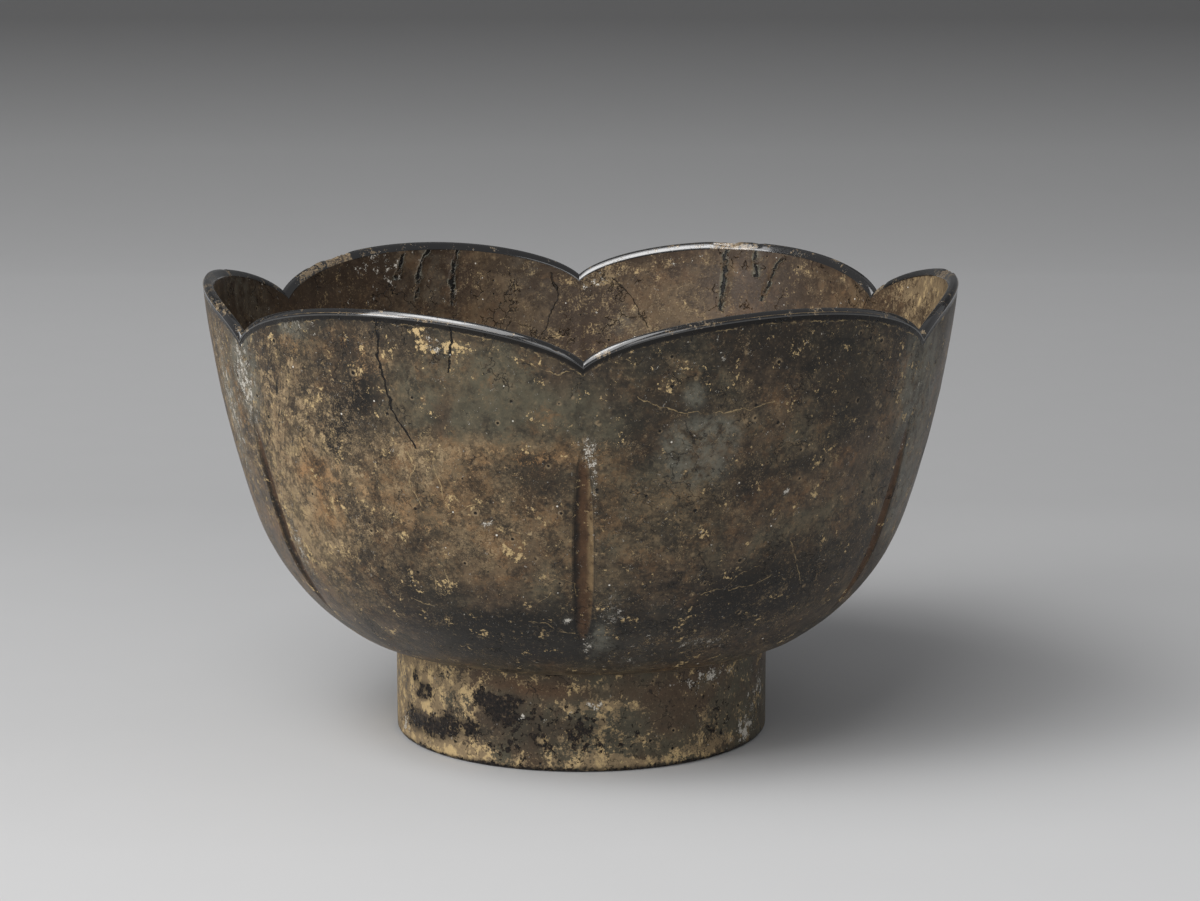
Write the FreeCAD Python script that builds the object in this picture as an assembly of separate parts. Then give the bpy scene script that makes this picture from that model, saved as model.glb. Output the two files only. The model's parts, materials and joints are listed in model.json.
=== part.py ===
"""A lobed bowl of lacquered wood on a tall foot ring.

Six curved staves and a floor board make the core, which stands on a turned hoop. Cloth, ground and
lacquer lie over it inside and out, and each coat follows the one under it. The origin is the centre of
the foot's resting face, +Z points up and one notch of the rim faces -Y. Lengths are in millimetres.
"""

import FreeCAD, Part

import math
import os

from FreeCAD import Vector

# The outside of the bowl
lobe_count = 6
rim_radius = 86.4
rim_peak_height = 106.8
rim_notch_height = 97.3
arch_width_share = 0.95
foot_radius = 43.3
foot_height = 23.1
foot_wall = 4.2
foot_edge_radius = 1.2

# Where the round stretches of the wall's outline meet, as shares of the way from foot to rim: out and up
outline_shares = ((0.044, 0.0), (0.252, 0.032), (0.743, 0.362), (1.0, 1.0))

# The thickness of the finished wall
rim_thickness = 2.6
shoulder_thickness = 4.0
floor_thickness = 5.2

# The coats, from the surface inward
lacquer_thickness = 0.2
ground_thickness = 0.25
cloth_thickness = 0.25

# The rim, from its edge down. The lacquer stands proud of the ground there, which rounds the edge
rim_lacquer_rise = 1.0
rim_edge_radius = 0.8
rim_lacquer_width = 1.5
rim_ground_width = 2.3
rim_strip_width = 3.4

# The channel in the outside below each notch. Its ends are shares of the way from foot to rim
groove_width = 4.6
groove_depth = 1.1
groove_end_shares = (0.132, 0.672)

# The strip over each stave seam inside, let into the wood. Its ends are shares of the way from floor to rim
seam_strip_width = 3.6
seam_strip_height = 0.45
seam_strip_sink = 0.4
seam_strip_end_shares = (0.035, 0.839)

# The joints of the core
board_radius = 30.0
board_lap = 3.5
board_lip_thickness = 2.0
tongue_width = 1.2
tongue_height = 1.2

# How far a cutter runs past what it cuts, and how near counts as touching
overrun = 10.0
touching_distance = 0.01

lobe_angle = 360 / lobe_count
first_notch_angle = -90
first_lobe_angle = first_notch_angle + lobe_angle / 2
foot_inner_radius = foot_radius - foot_wall
coat_depths = (
    0,
    lacquer_thickness,
    lacquer_thickness + ground_thickness,
    lacquer_thickness + ground_thickness + cloth_thickness,
)
coating = coat_depths[-1]
foot_coating = coat_depths[2]
rim_drops = (
    0,
    rim_lacquer_rise,
    rim_lacquer_rise + ground_thickness,
    rim_lacquer_rise + ground_thickness + cloth_thickness,
)
rim_widths = (rim_lacquer_width, rim_ground_width, rim_strip_width)
core_bottom = foot_height + coating
core_floor = foot_height + floor_thickness - coating
recess_height = core_bottom - foot_coating
origin = Vector(0, 0, 0)
upward = Vector(0, 0, 1)


def line(start, end):
    return Part.LineSegment(start, end).toShape()


def face_of(edges):
    return Part.Face(Part.Wire(edges))


class Arc:
    """A round stretch of an outline in the XZ plane. A slope is its angle above level there, in radians."""

    def __init__(self, start, end, start_slope=None, end_slope=None):
        chord = end - start
        lean = math.atan2(chord.z, chord.x)
        self.start_slope = 2 * lean - end_slope if start_slope is None else start_slope
        self.end_slope = 2 * lean - self.start_slope
        self.radius = chord.Length / (2 * math.sin(lean - self.start_slope))
        inward = Vector(-math.sin(self.start_slope), 0, math.cos(self.start_slope))
        self.centre = start + inward * self.radius

    def spot(self, slope, inset=0):
        """The point where the outline has that slope, moved inward by inset."""
        outward = Vector(math.sin(slope), 0, -math.cos(slope))
        return self.centre + outward * (self.radius - inset)

    def slope_at(self, height):
        return math.acos((self.centre.z - height) / self.radius)

    def edge(self, inset=0):
        middle = (self.start_slope + self.end_slope) / 2
        spots = [self.spot(slope, inset) for slope in (self.start_slope, middle, self.end_slope)]
        return Part.Arc(*spots).toShape()

    def half_tube(self, radius, before=0, after=0):
        """The inner half of a tube along the arc. It runs on past its ends by the lengths before and after."""
        first = self.start_slope - before / self.radius
        last = self.end_slope + after / self.radius
        middle = self.spot(first)
        side = Vector(0, radius, 0)
        half_round = Part.Arc(middle + side, self.spot(first, radius), middle - side).toShape()
        half_disc = face_of([half_round, line(middle - side, middle + side)])
        return half_disc.revolve(self.centre, Vector(0, -1, 0), math.degrees(last - first))


def outer_arcs():
    """The outline of the outside, from the level underside of the body up to the rim."""
    reach = rim_radius - foot_radius
    rise = rim_peak_height - foot_height
    spots = [Vector(foot_radius + out * reach, 0, foot_height + up * rise) for out, up in outline_shares]
    arcs = []
    slope = 0
    for start, end in zip(spots, spots[1:]):
        arcs.append(Arc(start, end, start_slope=slope))
        slope = arcs[-1].end_slope
    return arcs


def inner_arcs(outside):
    """The outline of the inside, from the level floor up to the rim."""
    wall = outside[-1]
    rim = wall.spot(wall.end_slope, rim_thickness)
    shoulder = wall.spot(wall.start_slope, shoulder_thickness)
    upper = Arc(shoulder, rim, end_slope=wall.end_slope)
    floor_level = foot_height + floor_thickness
    bowl_radius = (shoulder.z - floor_level) / (1 - math.cos(upper.start_slope))
    floor_edge = Vector(shoulder.x - bowl_radius * math.sin(upper.start_slope), 0, floor_level)
    return [Arc(floor_edge, shoulder, start_slope=0), upper]


outside = outer_arcs()
inside = inner_arcs(outside)
shoulder_height = outside[-1].spot(outside[-1].start_slope).z


def outline_face(corners):
    """A flat face in the XZ plane with straight sides, from (outward, upward) pairs."""
    spots = [Vector(out, 0, up) for out, up in corners]
    return face_of([line(start, end) for start, end in zip(spots, spots[1:] + spots[:1])])


def filled_half(arcs, inset):
    """The half section between the axis and an outline moved inward by inset, past the rim by the overrun."""
    first = arcs[0].spot(arcs[0].start_slope, inset)
    slope = arcs[-1].end_slope
    last = arcs[-1].spot(slope, inset)
    top = last + Vector(math.cos(slope), 0, math.sin(slope)) * overrun
    axis_top = Vector(0, 0, top.z)
    axis_foot = Vector(0, 0, first.z)
    sides = [line(axis_foot, first)] + [arc.edge(inset) for arc in arcs]
    return face_of(sides + [line(last, top), line(top, axis_top), line(axis_top, axis_foot)])


def turned(face, angle=360):
    return face.revolve(origin, upward, angle)


def sector(face):
    """The face turned through one lobe, from the notch that faces -Y to the next."""
    return turned(face, lobe_angle).rotated(origin, upward, first_notch_angle)


def around(shape):
    """Copies of a shape, each a lobe further on."""
    return [shape.rotated(origin, upward, lobe_angle * turn) for turn in range(lobe_count)]


def beside_lobe(shapes):
    """Copies of shapes that lie along +X, at the notches on both sides of the sector."""
    angles = (first_notch_angle, first_notch_angle + lobe_angle)
    return [shape.rotated(origin, upward, angle) for angle in angles for shape in shapes]


def one_solid(shape):
    """The single solid that a boolean operation leaves."""
    if len(shape.Solids) != 1:
        raise ValueError(f"one solid was expected, and there are {len(shape.Solids)}")
    return shape.Solids[0]


def whole_ring(piece):
    """A sector's piece joined with its copies all round."""
    first, *rest = around(one_solid(piece))
    return first.multiFuse(rest)


def sky(drop):
    """Everything above the arch of the sector's lobe, once the edge is lowered by drop."""
    half_lobe = math.radians(lobe_angle / 2)
    notch_share = math.cos(half_lobe) * math.sqrt(1 - arch_width_share**2)
    arch_height = (rim_peak_height - rim_notch_height) / (1 - notch_share)
    springing = rim_peak_height - arch_height - drop
    ceiling = rim_peak_height + 2 * overrun
    sections = []
    for reach in (rim_radius - 3 * overrun, rim_radius + 2 * overrun):
        centre = Vector(reach, 0, springing)
        side = Vector(reach, reach * math.tan(half_lobe) / arch_width_share, springing)
        crown = Vector(reach, 0, springing + arch_height * reach / rim_radius)
        arch = Part.ArcOfEllipse(Part.Ellipse(side, crown, centre), 0, math.pi)
        left, right = arch.StartPoint, arch.EndPoint
        left_top = Vector(left.x, left.y, ceiling)
        right_top = Vector(right.x, right.y, ceiling)
        sides = [line(right, right_top), line(right_top, left_top), line(left_top, left)]
        sections.append(Part.Wire([arch.toShape()] + sides))
    return Part.makeLoft(sections, True, True).rotated(origin, upward, first_lobe_angle)


def heights_between(lowest, shares):
    """The heights at those shares of the way from lowest up to the peak of the rim."""
    return [lowest + share * (rim_peak_height - lowest) for share in shares]


def bead_radius(width, height):
    """The radius of a round bead or hollow of that width and height."""
    return (width**2 / 4 + height**2) / (2 * height)


def crease(arcs, flank, crown, thick, ends, run_on):
    """Two half tubes along +X that follow the wall and leave its surface at the two heights in ends.

    The tube's middle is flank outside the outline at its ends and crown outside it at the shoulder, where
    the wall's two round stretches meet. Its radius is thick, and it goes on past its ends by run_on.
    """
    lower, upper = arcs
    shoulder = upper.spot(upper.start_slope, -crown)
    start = lower.spot(lower.slope_at(ends[0]), -flank)
    end = upper.spot(upper.slope_at(ends[1]), -flank)
    falling = Arc(start, shoulder, end_slope=upper.start_slope)
    rising = Arc(shoulder, end, start_slope=upper.start_slope)
    return [falling.half_tube(thick, before=run_on), rising.half_tube(thick, after=run_on)]


def groove_cutters(depth):
    """The tubes that leave a channel in the coat surface that lies depth below the finished one."""
    radius = bead_radius(groove_width, groove_depth)
    ends = heights_between(foot_height, groove_end_shares)
    return crease(outside[-2:], radius, radius - groove_depth, radius + depth, ends, overrun)


def seam_tubes(depth, run_on=overrun):
    """The tubes that leave a raised line in the inner coat surface that lies depth below the finished one."""
    flank = coating + bead_radius(seam_strip_width, seam_strip_height)
    ends = heights_between(foot_height + floor_thickness, seam_strip_end_shares)
    return crease(inside, flank, flank - seam_strip_height, flank - depth, ends, run_on)


def envelope(depth):
    """The sector of all that lies within the outer coat surface that is depth below the finished one."""
    return sector(filled_half(outside, depth)).cut(beside_lobe(groove_cutters(depth)))


def plain_cavity(depth):
    """The sector of the hollow of the bowl once the coats are taken off to depth, without the raised lines."""
    return sector(filled_half(inside, -depth))


def cavity(depth):
    return plain_cavity(depth).cut(beside_lobe(seam_tubes(depth)))


def foot_post(depth):
    """All that lies within the foot's outer side, less depth, up to the body."""
    return Part.makeCylinder(foot_radius - depth, rim_peak_height)


def lies_on(edge, shape):
    spots = [Part.Vertex(spot) for spot in edge.discretize(5)]
    return all(spot.distToShape(shape)[0] < touching_distance for spot in spots)


def rounded_rim(piece):
    """A sector of the rim's outermost coat with its edge rounded on both sides."""
    above = sky(0)
    long_edges = [edge for edge in piece.Edges if edge.Length > 2 * rim_thickness]
    return piece.makeFillet(rim_edge_radius, [edge for edge in long_edges if lies_on(edge, above)])


def coat_pieces():
    """The coats of the wall and the rim, from the surface inward. A strip of cloth binds the rim."""
    names = ("lacquer", "ground", "cloth")
    envelopes = [envelope(depth) for depth in coat_depths]
    hollows = [cavity(depth) for depth in coat_depths]
    walls = [
        filled.cut([hollow, sky(drop)])
        for filled, hollow, drop in zip(envelopes, hollows, rim_drops)
    ]
    rims = []
    pieces = {}
    for layer, (name, width) in enumerate(zip(names, rim_widths)):
        above = sky(width)
        post = foot_post(min(coat_depths[layer + 1], foot_coating))
        pieces[f"outer_{name}"] = whole_ring(envelopes[layer].cut([envelopes[layer + 1], above, post]))
        pieces[f"inner_{name}"] = whole_ring(hollows[layer + 1].cut([hollows[layer], above]))
        rims.append(one_solid(walls[layer].common(above).cut(walls[layer + 1])))
    pieces["rim_lacquer"] = whole_ring(rounded_rim(rims[0]))
    pieces["rim_ground"] = whole_ring(rims[1])
    pieces["rim_strip"] = whole_ring(rims[2])
    return pieces


def foot_corner(side_at, facing, depth):
    """The round bottom edge of the foot less depth, as three points from the resting face up to the side."""
    reach = foot_edge_radius - depth
    centre = Vector(side_at - facing * foot_edge_radius, 0, foot_edge_radius)
    low = centre - upward * reach
    side = centre + Vector(facing, 0, 0) * reach
    middle = centre + Vector(facing, 0, -1) * (reach * math.sqrt(0.5))
    return low, middle, side


def foot_coat(side_at, facing, outer_depth, inner_depth, corners):
    """A coat on one side of the foot. The corners lead from the top of its face to the top of its back."""
    low, middle, side = foot_corner(side_at, facing, outer_depth)
    back_low, back_middle, back_side = foot_corner(side_at, facing, inner_depth)
    spots = [side] + [Vector(out, 0, up) for out, up in corners] + [back_side]
    edges = [Part.Arc(low, middle, side).toShape()]
    edges += [line(start, end) for start, end in zip(spots, spots[1:])]
    edges += [Part.Arc(back_side, back_middle, back_low).toShape(), line(back_low, low)]
    return turned(face_of(edges))


def foot_coats():
    """The coats outside the foot, and those that line its recess and the underside of the floor."""
    pieces = {}
    for name, outer_depth, inner_depth in zip(("lacquer", "ground"), coat_depths, coat_depths[1:]):
        face_at = foot_radius - outer_depth
        back_at = foot_radius - inner_depth
        top = foot_height + outer_depth
        corners = [(face_at, top), (back_at, top)]
        pieces[f"foot_{name}"] = foot_coat(foot_radius, 1, outer_depth, inner_depth, corners)
        face_at = foot_inner_radius + outer_depth
        back_at = foot_inner_radius + inner_depth
        ceiling = recess_height + outer_depth
        back = recess_height + inner_depth
        corners = [(face_at, ceiling), (0, ceiling), (0, back), (back_at, back)]
        pieces[f"base_{name}"] = foot_coat(foot_inner_radius, -1, outer_depth, inner_depth, corners)
    return pieces


def tongue_section():
    middle = (foot_radius + foot_inner_radius) / 2
    first, last = middle - tongue_width / 2, middle + tongue_width / 2
    top = core_bottom + tongue_height
    return [(last, core_bottom), (last, top), (first, top), (first, core_bottom)]


def foot_hoop():
    """The wood of the foot, which rests on its bare lower edge and has a round tongue on top."""
    low, middle, side = foot_corner(foot_radius, 1, foot_coating)
    far_low, far_middle, far_side = foot_corner(foot_inner_radius, -1, foot_coating)
    corners = [(side.x, core_bottom)] + tongue_section() + [(far_side.x, core_bottom)]
    spots = [side] + [Vector(out, 0, up) for out, up in corners] + [far_side]
    edges = [Part.Arc(low, middle, side).toShape()]
    edges += [line(start, end) for start, end in zip(spots, spots[1:])]
    edges += [Part.Arc(far_side, far_middle, far_low).toShape()]
    rests = [far_low, Vector(far_low.x, 0, 0), Vector(low.x, 0, 0), low]
    edges += [line(start, end) for start, end in zip(rests, rests[1:])]
    return turned(face_of(edges))


def floor_board():
    """The round board in the bottom, with a thin lip all round its underside."""
    lip_radius = board_radius + board_lap
    lip_top = core_bottom + board_lip_thickness
    corners = [(0, core_bottom), (lip_radius, core_bottom), (lip_radius, lip_top), (board_radius, lip_top)]
    return turned(outline_face(corners + [(board_radius, core_floor), (0, core_floor)]))


def seam_strip():
    """The strip inside the bowl, along +X, that is let into the wood over the seam between two staves."""
    falling, rising = seam_tubes(coating, run_on=0)
    within = plain_cavity(coating + seam_strip_sink).rotated(origin, upward, -first_lobe_angle)
    return one_solid(falling.fuse(rising).common(within))


def wall_staves(strip):
    """The staves, one for each lobe, which meet below the notches and lap over the floor board's lip."""
    tongue = turned(outline_face(tongue_section()))
    stave = envelope(coating).cut([plain_cavity(coating), sky(rim_drops[-1]), floor_board(), tongue])
    return around(stave.cut(beside_lobe([strip])))


def save(name, shape):
    solid = one_solid(shape)
    if not solid.isValid():
        raise ValueError(f"{name} is not a valid solid")
    solid.exportStep(f"parts/{name}.step")
    print(name, round(solid.Volume, 1), flush=True)


def main():
    os.makedirs("parts", exist_ok=True)
    strip = seam_strip()
    for number, stave in enumerate(wall_staves(strip), start=1):
        save(f"wall_stave_{number}", stave)
    for number, copy in enumerate(around(strip.rotated(origin, upward, first_notch_angle)), start=1):
        save(f"seam_strip_{number}", copy)
    save("floor_board", floor_board())
    save("foot_hoop", foot_hoop())
    for name, coat in (coat_pieces() | foot_coats()).items():
        save(name, coat)


main()
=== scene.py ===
"""The finish of a lobed bowl in worn lacquer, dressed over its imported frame.

The lacquer of the wall, the inside, the rim, the foot and the foot's recess is built as five thin closed
shells. The wood, cloth and ground under them keep the frame's shapes and get their own materials. Lengths are
in metres. A place on the bowl is a turn round it in degrees, from the notch that faces the camera and to the
right as seen from there, and a height in millimetres above the face that the bowl rests on.
"""

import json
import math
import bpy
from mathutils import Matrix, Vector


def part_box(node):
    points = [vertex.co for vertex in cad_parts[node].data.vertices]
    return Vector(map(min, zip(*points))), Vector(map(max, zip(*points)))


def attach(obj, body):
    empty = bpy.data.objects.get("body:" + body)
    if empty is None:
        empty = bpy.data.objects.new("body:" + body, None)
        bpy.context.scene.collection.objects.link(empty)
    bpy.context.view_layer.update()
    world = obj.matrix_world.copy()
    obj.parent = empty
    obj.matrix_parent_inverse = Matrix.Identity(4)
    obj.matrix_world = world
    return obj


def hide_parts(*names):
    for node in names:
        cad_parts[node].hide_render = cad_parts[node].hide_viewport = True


bl_info = {
    "name": "Lobed bowl finish",
    "version": (1, 0, 0),
    "blender": (4, 5, 0),
    "location": "3D View > Sidebar > Bowl",
    "description": "Builds the lacquer, the hidden layers' finishes and the studio of a lobed bowl",
    "category": "Object",
}

import bmesh
import bpy
import numpy as np
from bpy.props import FloatProperty, FloatVectorProperty, IntProperty, PointerProperty
from mathutils import Euler, Matrix, Vector, noise

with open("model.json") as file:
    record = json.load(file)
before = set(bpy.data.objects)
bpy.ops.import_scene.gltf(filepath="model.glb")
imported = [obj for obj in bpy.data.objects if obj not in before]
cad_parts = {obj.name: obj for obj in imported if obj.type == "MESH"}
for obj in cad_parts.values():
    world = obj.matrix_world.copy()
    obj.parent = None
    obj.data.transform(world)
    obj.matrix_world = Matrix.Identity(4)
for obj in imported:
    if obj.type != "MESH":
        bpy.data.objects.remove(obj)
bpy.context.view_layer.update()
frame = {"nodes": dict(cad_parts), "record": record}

MILLIMETRE = 0.001
ROOT = "root"
rim_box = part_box("rim_lacquer")
foot_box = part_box("foot_lacquer")

# The outline of the outside, as shares of the way from foot to rim: out and up
OUTLINE_SHARES = ((0.044, 0.0), (0.252, 0.032), (0.743, 0.362), (1.0, 1.0))
ARCH_WIDTH_SHARE = 0.95

# The ends of the channels outside and of the raised lines inside, as shares of the way up to the rim
GROOVE_END_SHARES = (0.132, 0.672)
RIDGE_END_SHARES = (0.035, 0.839)


def paint(red, green, blue):
    """A colour as read off a chart, 0 to 255, turned into the linear values that shaders use."""
    shares = [value / 255 for value in (red, green, blue)]
    return tuple(share / 12.92 if share <= 0.04045 else ((share + 0.055) / 1.055) ** 2.4 for share in shares)


def described(name, description, default):
    return {"name": name, "description": description, "default": default, "min": 0}


def colour(name, description, tone):
    return FloatVectorProperty(**described(name, description, paint(*tone)), max=1, subtype="COLOR")


def length(name, description, default):
    return FloatProperty(**described(name, description, default), unit="LENGTH", precision=5)


def power(name, description, default):
    return FloatProperty(**described(name, description, default), unit="POWER")


class BowlShape(bpy.types.PropertyGroup):
    """The sizes that the shells follow. What the frame tells is read from it."""

    lobe_count: IntProperty(name="Lobes", description="Lobes round the rim", default=6, min=3)
    rim_radius: length("Rim radius", "From the axis to the middle of a lobe", rim_box[1].x)
    peak_height: length("Peak height", "Top of a lobe", rim_box[1].z)
    notch_height: length("Notch height", "Rim's edge between two lobes", 97.3 * MILLIMETRE)
    foot_radius: length("Foot radius", "Outside of the foot", foot_box[1].x)
    foot_height: length("Foot height", "From the resting face to the body", foot_box[1].z)
    foot_wall: length("Foot wall", "Thickness of the foot", 4.2 * MILLIMETRE)
    foot_edge: length("Foot edge", "Radius of the foot's bottom edges", 1.2 * MILLIMETRE)
    recess_height: length("Recess height", "Ceiling of the foot's recess", 23.35 * MILLIMETRE)
    rim_thickness: length("Rim thickness", "Wall at the rim", 2.6 * MILLIMETRE)
    shoulder_thickness: length("Shoulder thickness", "Wall at the shoulder", 4.0 * MILLIMETRE)
    floor_thickness: length("Floor thickness", "Floor of the bowl", 5.2 * MILLIMETRE)
    lacquer_thickness: length("Lacquer thickness", "Thickness of the lacquer", 0.2 * MILLIMETRE)
    rim_lacquer_width: length("Rim lacquer width", "How far the rim's lacquer reaches down", 1.5 * MILLIMETRE)
    rim_lacquer_rise: length("Rim lacquer rise", "Lacquer over the rim's ground", 1.0 * MILLIMETRE)
    bead_height: length("Bead height", "Round part of the rim's edge", 1.3 * MILLIMETRE)
    groove_width: length("Channel width", "Channel below each notch", 4.6 * MILLIMETRE)
    groove_depth: length("Channel depth", "Channel below each notch", 1.1 * MILLIMETRE)
    ridge_width: length("Ridge width", "Raised line inside each notch", 3.6 * MILLIMETRE)
    ridge_height: length("Ridge height", "Raised line inside each notch", 0.45 * MILLIMETRE)
    coating: length("Coating", "All the coats on the wall together", 0.7 * MILLIMETRE)


class BowlColours(bpy.types.PropertyGroup):
    """The colours of the finishes."""

    # Black is also painted as shade in the band low under the belly.
    black: colour("Black", "Sound black lacquer", (29, 27, 25))
    brown: colour("Brown", "Lacquer aged to brown", (84, 70, 55))
    olive: colour("Olive", "Lacquer aged to grey olive", (86, 81, 66))
    tan: colour("Tan", "Worn lacquer that shows its ground", (154, 133, 102))
    ochre: colour("Ochre", "Orange stains", (146, 104, 62))
    rubbed: colour("Rubbed", "Lacquer rubbed thin", (130, 109, 81))
    # Cream is also, on the channels' right side, partly a painted highlight.
    cream: colour("Cream", "Bare ground", (196, 170, 124))
    chalk: colour("Chalk", "White deposits", (222, 216, 204))
    # Bloom is also laid as painted sheen at the wall's left and right edges.
    bloom: colour("Bloom", "Grey film on the lacquer", (112, 110, 98))
    inside_brown: colour("Inside brown", "Lacquer in the bowl", (108, 90, 68))
    inside_dark: colour("Inside dark", "Darker lacquer in the bowl", (60, 48, 38))
    # Umber is also painted as shade on the left side of the channels.
    umber: colour("Umber", "Dark red-brown of old losses", (38, 30, 25))
    rust: colour("Rust", "Warm brown in the channels", (98, 70, 47))
    # Soot is also painted as shade along the channels' lips and in the band low under the belly.
    soot: colour("Soot", "Black of cracks and pits", (14, 12, 11))
    wood: colour("Wood", "Wood of the core", (150, 112, 74))
    cloth: colour("Cloth", "Cloth over the wood", (150, 138, 112))
    ground: colour("Ground", "Lacquer and ash over the cloth", (164, 140, 100))


class BowlStudio(bpy.types.PropertyGroup):
    """The camera, the lights and the sweep behind the bowl."""

    lens: FloatProperty(**described("Lens", "Focal length in millimetres", 82.6))
    key_power: power("Key", "Power of the softbox at the front left", 35)
    top_power: power("Top", "Power of the softbox overhead", 4)
    side_power: power("Side", "Power of the softbox on the left", 9)
    fill_power: power("Fill", "Power of the softbox in front", 4)
    world_level: FloatProperty(**described("Surround", "Brightness of the surround", 0.42))


class Arc:
    """A round stretch of a half section between two (radius, height) points.

    A slope is in radians above level.
    """

    def __init__(self, start, end, start_slope=None, end_slope=None):
        run, rise = end[0] - start[0], end[1] - start[1]
        lean = math.atan2(rise, run)
        self.start_slope = 2 * lean - end_slope if start_slope is None else start_slope
        self.end_slope = 2 * lean - self.start_slope
        self.radius = math.hypot(run, rise) / (2 * math.sin(lean - self.start_slope))
        self.length = self.radius * (self.end_slope - self.start_slope)
        self.centre = np.array(start) + self.radius * self.inward(self.start_slope)

    @staticmethod
    def inward(slope):
        return np.array([-np.sin(slope), np.cos(slope)])

    def spot(self, slope, inset=0):
        reach = self.radius - inset
        return np.stack([self.centre[0] + reach * np.sin(slope), self.centre[1] - reach * np.cos(slope)])

    def slope_at(self, height):
        return np.arccos((self.centre[1] - height) / self.radius)


ROUTE_SAMPLES = 2000


class Outline:
    """A level stretch from a radius, and the arcs that follow it up to the rim."""

    def __init__(self, start_radius, arcs):
        self.start_radius = start_radius
        self.arcs = arcs
        self.level = arcs[0].spot(0)[1]
        self.lead = arcs[0].centre[0] - start_radius
        self.length = self.lead + sum(arc.length for arc in arcs)

    def follow(self, along):
        """The radius, height and slope at each distance along the outline."""
        radius = self.start_radius + along
        height = np.full_like(along, self.level)
        slope = np.zeros_like(along)
        passed = self.lead
        for arc in self.arcs:
            beyond = along > passed
            slope[beyond] = arc.start_slope + (along[beyond] - passed) / arc.radius
            radius[beyond], height[beyond] = arc.spot(slope[beyond])
            passed += arc.length
        return radius, height, slope

    def along_at(self, height):
        """How far along the last arc is at a height."""
        last = self.arcs[-1]
        return self.length + last.radius * (last.slope_at(height) - last.end_slope)

    def radius_at(self, height):
        last = self.arcs[-1]
        return last.spot(last.slope_at(height))[0]

    def route(self, places, reference_radius):
        """Turns and heights, in degrees and millimetres, as points of the surface's own map."""
        along = np.linspace(self.lead, self.length, ROUTE_SAMPLES)
        heights = self.follow(along)[1]
        turns, levels = np.array(places).T
        around = np.radians(turns) * reference_radius
        return list(zip(around, np.interp(levels * MILLIMETRE, heights, along)))


class Crease:
    """A round tube along two arcs of the wall.

    Its middle is its radius off the wall at its ends, less by depth at the shoulder.
    """

    def __init__(self, arcs, radius, depth, end_heights):
        lower, upper = arcs
        shoulder = upper.spot(upper.start_slope, depth - radius)
        start = lower.spot(lower.slope_at(end_heights[0]), -radius)
        end = upper.spot(upper.slope_at(end_heights[1]), -radius)
        falling = Arc(start, shoulder, end_slope=upper.start_slope)
        rising = Arc(shoulder, end, start_slope=upper.start_slope)
        self.radius = radius
        self.stretches = ((lower, falling), (upper, rising))

    def clearance(self, slope):
        """How far off the wall the tube's middle is where the wall has each slope."""
        clear = np.full_like(slope, 2 * self.radius)
        for wall, path in self.stretches:
            here = (slope >= wall.start_slope) & (slope <= wall.end_slope + SLOPE_SLACK)
            outward = -wall.inward(slope[here])
            step = path.centre - wall.centre
            ahead = outward[0] * step[0] + outward[1] * step[1]
            clear[here] = ahead + np.sqrt(path.radius**2 - step @ step + ahead**2) - wall.radius
        return clear

    def height(self, slope, beside, growth):
        """How far the tube, made thicker by growth, reaches past the wall at a distance beside its middle."""
        middle = self.clearance(slope) + growth
        square = (self.radius + growth) ** 2 - beside**2
        reach = (square - middle**2) / (np.sqrt(np.maximum(square, 0)) + middle)
        return soft_above_zero(reach)


SLOPE_SLACK = 1e-9
SOFT_EDGE = 0.06 * MILLIMETRE


def soft_above_zero(value):
    """The value where it is above zero, and zero elsewhere, with a round change between them."""
    return (value + np.sqrt(value**2 + SOFT_EDGE**2)) / 2


def bead_radius(width, height):
    return (width**2 / 4 + height**2) / (2 * height)


def outer_arcs(shape):
    reach = shape.rim_radius - shape.foot_radius
    rise = shape.peak_height - shape.foot_height
    spots = [(shape.foot_radius + out * reach, shape.foot_height + up * rise) for out, up in OUTLINE_SHARES]
    arcs = []
    slope = 0
    for start, end in zip(spots, spots[1:]):
        arcs.append(Arc(start, end, start_slope=slope))
        slope = arcs[-1].end_slope
    return arcs


def inner_arcs(shape):
    wall = outer_arcs(shape)[-1]
    rim = wall.spot(wall.end_slope, shape.rim_thickness)
    shoulder = wall.spot(wall.start_slope, shape.shoulder_thickness)
    upper = Arc(shoulder, rim, end_slope=wall.end_slope)
    floor_level = shape.foot_height + shape.floor_thickness
    bowl_radius = (shoulder[1] - floor_level) / (1 - math.cos(upper.start_slope))
    floor_edge = (shoulder[0] - bowl_radius * math.sin(upper.start_slope), floor_level)
    return [Arc(floor_edge, shoulder, start_slope=0), upper]


def heights_between(shape, lowest, shares):
    return [lowest + share * (shape.peak_height - lowest) for share in shares]


def groove(shape):
    ends = heights_between(shape, shape.foot_height, GROOVE_END_SHARES)
    radius = bead_radius(shape.groove_width, shape.groove_depth)
    return Crease(outer_arcs(shape)[-2:], radius, shape.groove_depth, ends)


def ridge(shape):
    ends = heights_between(shape, shape.foot_height + shape.floor_thickness, RIDGE_END_SHARES)
    radius = shape.coating + bead_radius(shape.ridge_width, shape.ridge_height)
    return Crease(inner_arcs(shape), radius, shape.ridge_height, ends)


def from_notch(shape, turn):
    """The angle from the nearest notch, less than zero to its left."""
    lobe = 2 * math.pi / shape.lobe_count
    return (turn + lobe / 2) % lobe - lobe / 2


def edge_height(shape, radius, turn):
    """The height of the rim's edge at a radius and a turn."""
    half_lobe = math.pi / shape.lobe_count
    from_middle = half_lobe - np.abs(from_notch(shape, turn))
    notch_share = math.cos(half_lobe) * math.sqrt(1 - ARCH_WIDTH_SHARE**2)
    arch = (shape.peak_height - shape.notch_height) / (1 - notch_share)
    across = ARCH_WIDTH_SHARE * np.tan(from_middle) / math.tan(half_lobe)
    rise = arch * radius * np.cos(from_middle) / shape.rim_radius * np.sqrt(1 - across**2)
    return shape.peak_height - arch + rise


# How many rounds bring the rim's edge and the wall's radius together
EDGE_ROUNDS = 3


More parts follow.
